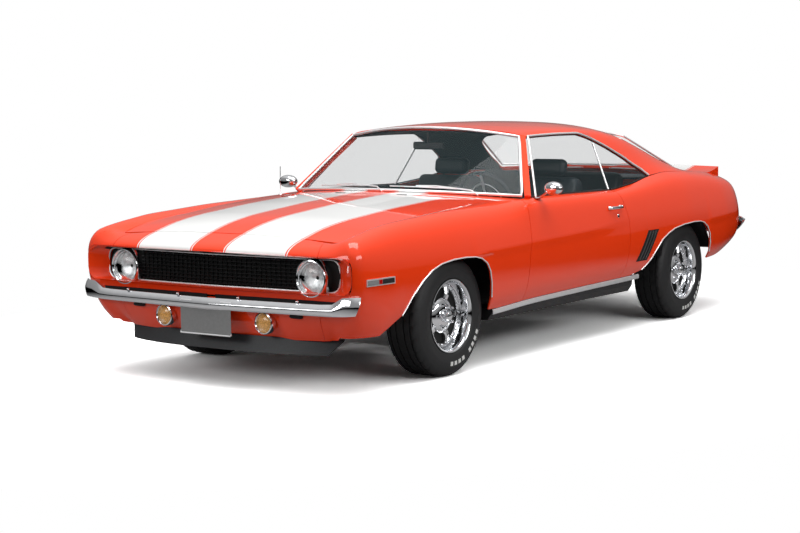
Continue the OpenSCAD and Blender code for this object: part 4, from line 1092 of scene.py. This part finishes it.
PLATE_X = 2344
joined("blank_plate", [box_part([PLATE_X, -172, 274], [PLATE_X + 3, 160, 440], 1)], "plate", "body", [],
       "chrome")
frame_path = [[PLATE_X + 3, y, z] for y, z in ((-173, 273), (161, 273), (161, 441), (-173, 441))]
tube("plate_frame", resampled(np.array(frame_path), 80), 4, 6, ring=True)
joined("plate_bracket", [box_part([2290, -60, 320], [PLATE_X, 60, 420], 3)], "black", "body", [],
       "black_paint")

# Tail lamps with bright frames
TAIL_LENS_U = (2470, 2600, 2730, 2860)
lens_grid = side_patch(spread(TAIL_LENS_U[0], TAIL_LENS_U[-1], 24), spread(664, 772, 6), dx=-9)
for s, side_name in SIDES:
    skin(f"tail_lens_{side_name}", [lens_grid], 8, "red_lens", "body", ["tail_lamps"], "red_lens", s)
    frames = []
    for u0, u1 in zip(TAIL_LENS_U[:-1], TAIL_LENS_U[1:]):
        loop = [(u, 660) for u in spread(u0, u1, 5)] + [(u1, z) for z in (700, 740)]
        loop += [(u, 776) for u in spread(u1, u0, 5)] + [(u0, z) for z in (740, 700)]
        pts = np.array([on_side(u, z, dx=-12) for u, z in loop]) * np.array([1, s, 1])
        frames.append(sweep(pts, circle(4, 6), True, up=FORWARD))
    joined(f"tail_frame_{side_name}", frames, "bright", "body", [], "chrome")


# ---------------------------------------------------------------- bright trim
def window_ring(high, low, on_high, on_edge, on_low):
    """Closed line round a window, each of its runs moved by its own offset."""
    ring = [high(t) + np.array(on_high) for t in spread(-1, 1, 30)]
    ring += [mix(high(1), low(1), k / 10) + np.array(on_edge) for k in range(1, 10)]
    ring += [low(t) + np.array(on_low) for t in spread(1, -1, 30)]
    ring += [mix(low(-1), high(-1), k / 10) + np.array(on_edge) * MIRROR for k in range(1, 10)]
    return ring


tube("windshield_trim", window_ring(glass_top, base_at, (0, 0, 5), (2, 4, 5), (4, 0, 5)), 8.5, 10, ring=True)
tube("back_window_trim", window_ring(back_top, back_base, (0, 0, 2), (0, 2, 3), (0, 0, 3)), 7, ring=True)


def gill(q, z, out):
    """Point of the gill field behind the front wheel, q along it from 0 to 1."""
    return on_side(696 + q * 142 - 0.83 * (622 - z), z, dy=out)


MARKER_PARTS = [("clear", -2218, -2140, "plate"), ("red", -2136, -2112, "red_lens"),
                ("dark", -2108, -2018, "black")]
SILL_SECTION = ((-1, -3), (4, -8), (4, -27), (-1, -32))
DIVIDER_LOW, DIVIDER_TOP = np.array([-408, 797, 884]), np.array([-474, 652, 1161])
BELT_W = 0.004
HANDLE_Z, LOCK_Z = 786, 733
HANDLE_PATH = ((-228, 4), (-240, 20), (-275, 25), (-330, 25), (-362, 20), (-374, 4))
ARM_PATH = ((506, 846, 884), (512, 872, 896), (518, 905, 916), (522, 932, 936))
MIRROR_AT = np.array([516, 948, 941])

for s, side_name in SIDES:
    flip = np.array([1, s, 1])
    door = f"door_{side_name}"
    rail_end = top(240, RAIL_W) + np.array([0, 8, 0])
    line = [mix(np.array([505, 826, 888]), rail_end, k / 10) for k in range(10)]
    line += [top(x, RAIL_W) + np.array([0, 4, -1]) for x in spread(240, SAIL_START, 26)]
    line += [top(look(w, SAIL_FRONT), w) + np.array([0, 2, 0]) for w in spread(RAIL_W - 0.01, 0.02, 24)]
    tube(f"window_trim_{side_name}", [p * flip for p in line], 6.5)
    tube(f"window_divider_{side_name}", [mix(DIVIDER_LOW, DIVIDER_TOP, k / 8) * flip for k in range(9)], 6)
    for label, body, x0, x1, n in (("belt_seal", door, 556, -404, 30),
                                   ("quarter_seal", "body", -424, -960, 16)):
        seal = [(top(x, BELT_W) + np.array([0, -4, 3])) * flip for x in spread(x0, x1, n)]
        tube(f"{label}_{side_name}", seal, 4, 6, "rubber", body, "rubber")
    for arch, axle, label in ((ARCH_FRONT, AXLE_FRONT, "front"), (ARCH_REAR, AXLE_REAR, "rear")):
        start = above_arch(arch, axle)
        line = [side_point(u, start(u)) for u in arch_columns(arch, axle) if start(u) > 0]
        tube(f"arch_trim_{label}_{side_name}", [(p + np.array([0, 1.5, 0])) * flip for p in line], 3.6)
    sill = np.array([[side_raw(u, 0) + np.array([0, dy, dz]) for dy, dz in SILL_SECTION]
                     for u in spread(-1054, 640, 40)])
    skin(f"sill_trim_{side_name}", [sill], 3, "bright", "body", [], "chrome", s)

    # side marker, gills, handle and lock
    marker = side_patch(spread(-2225, -2010, 10), spread(548, 583, 3), dy=5)
    skin(f"side_marker_frame_{side_name}", [marker], 6, "bright", "body", [], "chrome", s)
    for label, u0, u1, key in MARKER_PARTS:
        marker = side_patch(spread(u0, u1, 5), spread(554, 577, 2), dy=7)
        skin(f"side_marker_{label}_{side_name}", [marker], 4, key, "body", s=s)
    # The gill recess is filled with painted shade, near black; the ridges over it are satin black.
    recess = np.array([[gill(q, z, 1.2) for z in spread(438, 622, 10)] for q in spread(0, 1, 6)])
    skin(f"gill_recess_{side_name}", [recess], 5, "void", "body", [], "black_paint", s)
    ridges = [sweep([gill(q, z, 4.5) * flip for z in spread(446, 614, 8)], circle(4.5, 6, 4))
              for q in (0.2, 0.46, 0.72)]
    joined(f"gill_ridges_{side_name}", ridges, "black", "body", [], "black_paint")
    y0 = on_side(300, HANDLE_Z)[1]
    y1 = on_side(334, LOCK_Z)[1]
    grip = sweep([np.array([x, y0 + out, HANDLE_Z]) * flip for x, out in HANDLE_PATH], circle(7, 10, 9))
    button = turned([(0.1, 26), (8, 25), (11, 20), (11, 0), (0.1, 0)],
                    np.array([-372, y0, HANDLE_Z]) * flip, [0, s, 0], 24)
    lock = turned([(0.1, 5), (8, 5), (12, 3), (13, 0), (0.1, -3)],
                  np.array([-334, y1, LOCK_Z]) * flip, [0, s, 0], 24)
    joined(f"door_handle_{side_name}", [grip, button, lock], "chrome", door, [], "chrome")

    # mirror: foot, arm and an oval chrome head
    turns = [math.pi * i / 12 for i in range(13)]
    outline = [(max(0.1, 46 * math.sin(a) ** 0.62), -24 * math.cos(a)) for a in turns]
    v, f = turned(outline, np.zeros(3), FORWARD, 48)
    v = v * np.array([1.40, 1.30, 0.84])
    v[:, 1] += 0.25 * v[:, 0]
    arm = sweep([np.array(p, float) * flip for p in ARM_PATH], circle(8, 10, 6))
    foot = box_part([478, 826, 880], [540, 858, 889], 4)
    shells = [on_hand(s, (v + MIRROR_AT, f)), arm, on_hand(s, foot)]
    joined(f"door_mirror_{side_name}", shells, "chrome", door, [f"mirror_{side_name}"], "chrome")

# Wipers, aerial, hood slots, inside mirror
LIFT = np.array([10, 0, 12])
for label, t0, t1, t2 in (("left", 0.74, 0.62, 0.06), ("right", 0.02, -0.12, -0.68)):
    arm = [base_at(t0) + np.array([22, 0, -2]),
           mix(base_at(mix(t0, t1, 0.5)), glass_top(t0), 0.03) + LIFT,
           mix(base_at(mix(t1, t2, 0.35)), glass_top(t1), 0.07) + LIFT,
           mix(base_at(mix(t1, t2, 0.6)), glass_top(t2), 0.06) + LIFT]
    edge = [mix(base_at(t), glass_top(t), 0.05) + LIFT * 0.8 for t in spread(t1, t2, 10)]
    joined(f"wiper_{label}", [sweep(arm, circle(4.5, 8)), sweep(edge, circle(3.5, 8))], "bright", "body", [],
           "chrome")
foot = turned([(0.1, 14), (5, 12), (13, 2), (14, -4), (0.1, -4)], [797, -780, 874], [0, 0, 1], 24)
mast = sweep([[797, -780, 872], [797, -780, 960], [795, -780, 1045]], circle(2.2, 8))
joined("aerial", [foot, mast], "chrome", "body", [], "chrome")
# The hood slots are boxes of painted shade, near black, sunk in the hood.
slot_z = hood_z(948, 215)
vents = [box_part([938, s * 215 - 34, slot_z - 4], [952, s * 215 + 34, slot_z + 1.5], 2) for s, _ in SIDES]
joined("hood_slots", vents, "void", "hood", [], "black_paint")
stem = sweep([[362, 0, 1170], [368, 0, 1205], [372, 0, 1250]], circle(6, 8))
joined("inside_mirror", [box_part([352, -108, 1142], [372, 108, 1188], 8), stem], "black", "body", [], "dash")

# ---------------------------------------------------------------- cabin
LINER_IN, LINER_T = 16, 3
skin("headliner", [sunk(roof, LINER_IN)], LINER_T, "liner", "body", [], "dash")
shells = []
for s, side_name in SIDES:
    inner_sail = sunk(sail, LINER_IN)
    shells.append(on_hand(s, panel(inner_sail, LINER_T, signed(inner_sail))))
    shells.append(on_hand(s, box_part([-1000, 742, 420], [-470, 768, 868], 6)))
joined("cabin_side_trim", shells, "liner", "body", [], "dash")
card = [box_part([-398, 746, 400], [560, 767, 872], 5), box_part([-398, 746, 866], [540, 784, 888], 4)]
for s, side_name in SIDES:
    joined(f"door_card_{side_name}", [on_hand(s, c) for c in card], "liner", f"door_{side_name}", [], "dash")

DASH_SECTION = [(699, 706), (480, 706), (450, 722), (441, 750), (446, 790), (460, 812), (452, 826),
                (456, 842), (480, 856), (560, 866), (699, 873)]
dash_grid = np.array([[[x, y, z - 10 * (abs(y) / 700) ** 3] for x, z in DASH_SECTION]
                      for y in spread(-695, 695, 30)])
n, m = dash_grid.shape[:2]
f = ring_faces(n, m) + [tuple(range(m - 1, -1, -1)), tuple((n - 1) * m + j for j in range(m))]
build("dash_pad", dash_grid.reshape(-1, 3), f, "dash", "body", ["dashboard"], "dash", sharp=30)
dials = [turned([(44, -6), (54, -6), (54, 10), (50, 14), (46, 8)], [446, y, 772], [-1, 0, 0], 40)
         for y in (235, 455)]
joined("dial_rings", dials, "bright", "body", [], "chrome")


def pad(name, centre, size, tilt, channels, node_names, r=38, crown=10):
    """Padded block with a crowned face and sewn channels across it."""
    bm = bmesh.new()
    bmesh.ops.create_cube(bm, size=2)
    bmesh.ops.subdivide_edges(bm, edges=bm.edges[:], cuts=22, use_grid_fill=True)
    p = np.array([v.co[:] for v in bm.verts])
    faces = [tuple(v.index for v in face.verts) for face in bm.faces]
    bm.free()
    half = np.array(size) / 2
    rr = min(r, half.min() - 2)
    q = p * half
    core = np.clip(q, -(half - rr), half - rr)
    d = q - core
    length = np.linalg.norm(d, axis=1, keepdims=True)
    q = core + np.where(length > 1e-6, d / np.maximum(length, 1e-6) * rr, 0)
    thin = int(np.argmin(half))
    wide, tall = [k for k in range(3) if k != thin]
    a, b = q[:, wide] / half[wide], q[:, tall] / half[tall]
    q[:, thin] *= 1 + crown / half[thin] * np.clip(1 - a ** 2, 0, 1) * np.clip(1 - b ** 2, 0, 1)
    for y in channels:
        groove = 5.0 * np.exp(-((q[:, 1] - y) / 7) ** 2) * np.clip(1 - a ** 4, 0, 1)
        q[:, thin] -= np.sign(q[:, thin]) * groove * (np.abs(p[:, thin]) > 0.99)
    c, s = math.cos(math.radians(tilt)), math.sin(math.radians(tilt))
    rot = np.array([[c, 0, s], [0, 1, 0], [-s, 0, c]])
    o = build(name, q @ rot.T + np.array(centre), faces, "vinyl", "body", node_names, "vinyl", sharp=60)
    return o


FRONT_LINES = [-150, -90, -30, 30, 90, 150]
REAR_LINES = [-400, -300, -200, 200, 300, 400, 0]
for s, side_name in SIDES:
    y = s * 362
    pad(f"seat_cushion_{side_name}", (-60, y, 455), (496, 496, 144), -6, FRONT_LINES, ["front_seats"])
    pad(f"seat_back_{side_name}", (-365, y, 700), (116, 456, 516), -14, FRONT_LINES, ["front_seats"])
    pad(f"head_rest_{side_name}", (-436, y, 1012), (76, 246, 106), -10, [], ["front_seats"], r=34, crown=6)
    posts = [sweep([[-424, y + k, 930], [-432, y + k, 985]], circle(6, 10)) for k in (-60, 60)]
    feet = [box_part([-255, y + k - 14, 263], [135, y + k + 14, 384], 4) for k in (-180, 180)]
    joined(f"seat_frame_{side_name}", posts + feet, "steel", "body", ["front_seats"], "chrome")
pad("rear_cushion", (-800, 0, 512), (326, 1072, 126), -8, REAR_LINES, ["rear_seat"])
pad("rear_back", (-1010, 0, 760), (106, 1072, 416), -22, REAR_LINES, ["rear_seat"])

COLUMN_TILT = math.radians(66)
WHEEL_AXIS = (-math.sin(COLUMN_TILT), 0, math.cos(COLUMN_TILT))
WHEEL_AT = np.array([262, 345, 845.0])


def on_column(shape):
    v, f = shape
    return placed(v, WHEEL_AT, WHEEL_AXIS), f


hub = lathe([(0.1, 14), (30, 12), (46, 4), (46, -20), (0.1, -20)], 48)
joined("steering_rim", [on_column(hoop(177, 11, 13, 12, 96)), on_column(hub)], "dash", "steering_wheel",
       ["steering_wheel"], "wheel_plastic")
shells = []
for a in (math.radians(90), math.radians(205), math.radians(335)):
    line = np.array([(q * math.cos(a), q * math.sin(a), -4 + 4 * (q / 170)) for q in (30, 80, 130, 172)])
    shells.append(sweep(placed(line, WHEEL_AT, WHEEL_AXIS), circle(9, 8, 3), up=WHEEL_AXIS))
shells.append(on_column(hoop(104, 3, 3, 8, 72, z=4)))
joined("steering_spokes", shells, "bright", "steering_wheel", ["steering_wheel"], "chrome")

# ---------------------------------------------------------------- wheels
RIM_R = 192
SIDE = TYRE_W / MM / 2
R = TYRE_R / MM
DISH = 62              # wheel centre behind the rim's lip
RIM_OUT = SIDE - 7     # outer face of the rim
CENTRE_Z = RIM_OUT - DISH
# Bead, side wall and shoulder of the tyre: over the rim's radius, in from the side
WALL = [(-12, 19), (3, 15), (9, 8), (16, 5), (22, 4), (36, 1.5), (52, 0), (56, 0), (72, 3), (88, 8), (98, 13),
        (101, 14), (108, 20)]
# Spoke: radius, width, height over the centre's face; then across it: share of half width, height
SPOKE_FRONT = ((86, 44, 4), (104, 34, 11), (126, 32, 9), (148, 46, 1))
SPOKE_BACK = ((86, 44, -10), (104, 34, -8), (126, 32, -8), (148, 46, -12))
SPOKE_ACROSS = ((-1, -5), (-0.55, 2), (0.55, 2), (1, -5))
MARK_FACES = [(0, 1, 4, 3), (1, 2, 5, 4), (6, 9, 10, 7), (7, 10, 11, 8), (0, 6, 7, 1), (1, 7, 8, 2),
              (3, 4, 10, 9), (4, 5, 11, 10), (0, 3, 9, 6), (2, 8, 11, 5)]


def tyre_profile():
    """Outer face at +z: bead, side wall, shoulder, tread with grooves, and back."""
    right = [(RIM_R + r, SIDE - z) for r, z in WALL] + [(R - 9, SIDE - 27), (R - 4, SIDE - 35)]
    for z in (78, 68, 62, 56, 44, 30, 24, 18, 6):
        crown = 1.5 * (z / 80) ** 2
        if z in (62, 24):
            right += [(R - crown, z + 4.5), (R - 8, z + 3.5), (R - 8, z - 3.5), (R - crown, z - 4.5)]
        else:
            right.append((R - crown, z))
    return right + [(r, -z) for r, z in reversed(right)]


def tread_cut(i, r, z):
    """Depth of the cross cut in the tread at step i round the tyre."""
    if r <= R - 12 or abs(z) >= SIDE - 20:
        return 0.0
    if abs(z) <= 28:
        return 2.5 if (i + (1 if z > 0 else 4)) % 7 == 0 else 0.0
    return 5.0 if int(i + abs(z) / 16) % 6 == 0 else 0.0


def tyre_mesh(n=168):
    profile = tyre_profile()
    v, f = lathe(profile, n)
    cuts = np.array([1 - tread_cut(i, r, z) / r for i in range(n) for r, z in profile])
    v[:, :2] *= cuts[:, None]
    return v, f


def spoke(a):
    ca, sa = math.cos(a), math.sin(a)
    pts = []
    for rows, lifted in ((SPOKE_FRONT, 1), (SPOKE_BACK, 0)):
        for q, width, z in rows:
            for share, dz in SPOKE_ACROSS:
                y = share * width / 2
                pts.append((q * ca - y * sa, q * sa + y * ca, CENTRE_Z + z + dz * lifted))
    faces = []
    for i in range(3):
        for b in range(i * 4, i * 4 + 3):
            faces.append((b, b + 4, b + 5, b + 1))
            faces.append((16 + b, 16 + b + 1, 16 + b + 5, 16 + b + 4))
        faces.append((i * 4, 16 + i * 4, 16 + i * 4 + 4, i * 4 + 4))
        faces.append((i * 4 + 3, i * 4 + 7, 16 + i * 4 + 7, 16 + i * 4 + 3))
    return np.array(pts), faces


def set_round(shape, count, radius, z, turn=0.0):
    """Copies of a shape round the axle."""
    v, f = shape
    turns = [2 * math.pi * k / count + turn for k in range(count)]
    return [(v + np.array([radius * math.cos(a), radius * math.sin(a), z]), f) for a in turns]


def rim_parts():
    """Barrel with its lip, centre ring, dished middle, spokes, nuts, bolts and cap."""
    r, out, face = RIM_R, RIM_OUT, CENTRE_Z
    back = -out
    shells = [lathe([(r - 13, out - 12), (r - 8, out - 3), (r - 3, out), (r, out - 1), (r, out - 4),
                     (r - 6, out - 7), (r - 12, out - 14), (r - 13.7, 0), (r - 12, back + 14), (r, back + 6),
                     (r, back), (r - 5, back + 1), (r - 20, back + 10), (r - 24, 0), (r - 24, face - 8),
                     (r - 22, face + 2), (r - 19, out - 44), (r - 17, out - 28)], 128),
              lathe([(168, face - 14), (168, face - 2), (160, face + 3), (148, face + 2), (143, face - 6),
                     (143, face - 14)], 96),
              lathe([(0.1, face - 6), (0.1, face + 14), (30, face + 16), (62, face + 14), (84, face + 6),
                     (92, face - 2), (92, face - 10)], 80)]
    shells += [spoke(2 * math.pi * k / 5) for k in range(5)]
    nut = lathe([(0.1, 30), (5, 29), (8, 24), (9, 18), (9, 0), (0.1, 0)], 6)
    shells += set_round(nut, 5, 60, face + 10, math.pi / 5)
    bolt = lathe([(0.1, 7), (4, 6), (5.5, 3), (5.5, -2), (0.1, -2)], 8)
    shells += set_round(bolt, 20, 154, face + 2)
    cap = lathe([(0.1, 44), (14, 43), (24, 38), (29, 28), (31, 12), (34, 10), (34, 0), (0.1, 0)], 48)
    return shells + set_round(cap, 1, 0, face + 12)


def tyre_mark(a0):
    """Raised block on the side wall."""
    pts = [(r, a0 + math.radians(da)) for r in (RIM_R + 46, RIM_R + 68) for da in (0, 2.6, 5.2)]
    high = [(r * math.cos(a), r * math.sin(a), SIDE + 0.9 - 0.12 * max(0, r - RIM_R - 56)) for r, a in pts]
    low = [(x, y, z - 4) for x, y, z in high]
    return np.array(high + low), MARK_FACES


def wheel(tag, x, s):
    """Tyre, raised blocks, rim and a disc of painted shade behind it, for one wheel; +z of each part points
    outwards.
    """
    turn = -12 if s > 0 else 12
    marks = [tyre_mark(math.radians(-84 + 8.5 * k + turn)) for k in range(9) if k != 4]
    near, far = CENTRE_Z - 16, CENTRE_Z - 20
    shadow = lathe([(0.1, near), (166, near), (166, far), (0.1, far)], 48)
    for label, shape, key, nodes, slot_name, sharp in (
            ("tyre_body", tyre_mesh(), "tyre", [f"tyre_{tag}"], "tyre", 32),
            ("tyre_marks", parts_of(marks), "mark", [], "tyre", 38),
            ("rim_body", parts_of(rim_parts()), "chrome", [f"rim_{tag}"], "rim_chrome", 32),
            ("brake_shadow", shadow, "void", [], "steel", 38)):
        v = placed(shape[0], [x / MM, s * TRACK_Y / MM, R], [0, s, 0])
        build(f"{label}_{tag}", v, shape[1], key, f"wheel_{tag}", nodes, slot_name, sharp=sharp)


for place, axle_x in (("front", FRONT_X), ("rear", REAR_X)):
    for s, side_name in SIDES:
        wheel(f"{place}_{side_name}", axle_x, s)

# ---------------------------------------------------------------- CAD nodes that stay in view
KEPT = {"floor_pan": "black", "rockers": "black", "front_subframe": "steel", "engine_bay": "black",
        "engine_block": "steel", "rear_wheelhouses": "black", "rear_rails": "steel", "rear_axle": "steel",
        "fuel_tank": "steel", "exhaust": "pipe", "knuckle_left": "steel", "knuckle_right": "steel",
        "steering_column": "dash", "parcel_shelf": "liner"}
for cad_name, key in KEPT.items():
    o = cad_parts[cad_name]
    o.data.materials.clear()
    o.data.materials.append(M[key])

# ---------------------------------------------------------------- floor, lights, camera
FLOOR = 60.0
FLOOR_GAIN = 1.9       # colour of the floor as the camera sees it
FLOOR_GREY = 0.32      # and as the light meets it
FADE_X, FADE_Y, FADE_START = 4.6, 3.2, 0.62
floor_mesh = bpy.data.meshes.new("floor")
floor_mesh.from_pydata([(-FLOOR, -FLOOR, 0), (FLOOR, -FLOOR, 0), (FLOOR, FLOOR, 0), (-FLOOR, FLOOR, 0)], [],
                       [(0, 1, 2, 3)])
floor = bpy.data.objects.new("floor", floor_mesh)
bpy.context.scene.collection.objects.link(floor)
floor_mat = bpy.data.materials.new("floor_white")
floor_mat.use_nodes = True
floor_nodes = floor_mat.node_tree.nodes
floor_nodes.remove(floor_nodes["Principled BSDF"])
rays = node(floor_mat, "ShaderNodeLightPath")
seen_colour = node(floor_mat, "ShaderNodeMix", data_type="RGBA")
seen_colour.inputs["A"].default_value = (FLOOR_GREY, FLOOR_GREY, FLOOR_GREY, 1)
seen_colour.inputs["B"].default_value = (FLOOR_GAIN, FLOOR_GAIN, FLOOR_GAIN, 1)
link(floor_mat, rays.outputs["Is Camera Ray"], seen_colour.inputs["Factor"])
diffuse = node(floor_mat, "ShaderNodeBsdfDiffuse")
link(floor_mat, seen_colour.outputs["Result"], diffuse.inputs["Color"])
white = node(floor_mat, "ShaderNodeEmission")
link(floor_mat, rays.outputs["Is Camera Ray"], white.inputs["Strength"])
where = node(floor_mat, "ShaderNodeTexCoord")
spot = node(floor_mat, "ShaderNodeMapping")
spot.inputs["Scale"].default_value = (1 / FADE_X, 1 / FADE_Y, 1)
link(floor_mat, where.outputs["Object"], spot.inputs["Vector"])
reach = node(floor_mat, "ShaderNodeVectorMath", operation="LENGTH")
link(floor_mat, spot.outputs["Vector"], reach.inputs[0])
fade = node(floor_mat, "ShaderNodeMapRange")
fade.inputs["From Min"].default_value = FADE_START
link(floor_mat, reach.outputs["Value"], fade.inputs["Value"])
both = node(floor_mat, "ShaderNodeMixShader")
link(floor_mat, fade.outputs["Result"], both.inputs["Fac"])
link(floor_mat, diffuse.outputs["BSDF"], both.inputs[1])
link(floor_mat, white.outputs["Emission"], both.inputs[2])
link(floor_mat, both.outputs["Shader"], floor_nodes["Material Output"].inputs["Surface"])
floor_mesh.materials.append(floor_mat)

# Grey studio sky by height, plain white to the camera and through glass
SKY = ((0.0, 0.06), (1.0, 0.72), (0.5, 0.12), (0.56, 0.26), (0.72, 0.32), (0.86, 0.66))
world = bpy.data.worlds.new("studio")
bpy.context.scene.world = world
world.use_nodes = True
background = world.node_tree.nodes["Background"]
background.inputs["Color"].default_value = (1, 1, 1, 1)
rays = node(world, "ShaderNodeLightPath")
seen = math_node(world, "MAXIMUM", rays.outputs["Is Camera Ray"], rays.outputs["Is Transmission Ray"])
where = node(world, "ShaderNodeTexCoord")
split = node(world, "ShaderNodeSeparateXYZ")
link(world, where.outputs["Generated"], split.inputs[0])
height = node(world, "ShaderNodeMapRange")
height.inputs["From Min"].default_value = -1.0
link(world, split.outputs["Z"], height.inputs["Value"])
sky = node(world, "ShaderNodeValToRGB")
stops = sky.color_ramp.elements
for i, (at, grey) in enumerate(SKY):
    stop = stops.new(at) if i > 1 else stops[0] if i == 0 else stops[-1]
    stop.position = at
    stop.color = (grey, grey, grey, 1)
link(world, height.outputs["Result"], sky.inputs["Fac"])
strength = node(world, "ShaderNodeMix")
strength.inputs["B"].default_value = 1.0
link(world, seen, strength.inputs["Factor"])
link(world, sky.outputs["Color"], strength.inputs["A"])
link(world, strength.outputs["Result"], background.inputs["Strength"])


def area(name, place, aim, size, power):
    light = bpy.data.lights.new(name, "AREA")
    light.shape = "RECTANGLE"
    light.size, light.size_y = size
    light.energy = power
    o = bpy.data.objects.new(name, light)
    bpy.context.scene.collection.objects.link(o)
    o.location = place
    o.rotation_mode = "QUATERNION"
    o.rotation_quaternion = (Vector(aim) - Vector(place)).to_track_quat("-Z", "Y")


area("key_top", (1.5, 1.0, 6.5), (0.3, 0, 0.5), (7.0, 4.0), 430)
area("side_left", (1.5, 8.0, 3.8), (0, 0, 0.7), (8.0, 1.6), 220)
area("front_fill", (8.5, -2.5, 3.0), (1.0, 0, 0.6), (4.0, 1.6), 110)

CAMERA = (8.6507, 5.6790, 1.4328)
YAW, PITCH, ROLL = -2.5718, 0.1187, -0.006
ahead = Vector((math.cos(YAW) * math.cos(PITCH), math.sin(YAW) * math.cos(PITCH), -math.sin(PITCH)))
level = ahead.cross(Vector((0, 0, 1))).normalized()
above = level.cross(ahead)
right = math.cos(ROLL) * level + math.sin(ROLL) * above
up = -math.sin(ROLL) * level + math.cos(ROLL) * above
cam_data = bpy.data.cameras.new("camera")
cam_data.sensor_width = 36
cam_data.lens = 75.747
cam_data.shift_x = -0.1021
cam_data.shift_y = 0.0427
cam_data.clip_end = 200
cam = bpy.data.objects.new("camera", cam_data)
bpy.context.scene.collection.objects.link(cam)
cam.matrix_world = Matrix(((right.x, up.x, -ahead.x, CAMERA[0]), (right.y, up.y, -ahead.y, CAMERA[1]),
                           (right.z, up.z, -ahead.z, CAMERA[2]), (0, 0, 0, 1)))
bpy.context.scene.camera = cam
bpy.context.scene.view_settings.view_transform = "Standard"

bpy.context.view_layer.update()
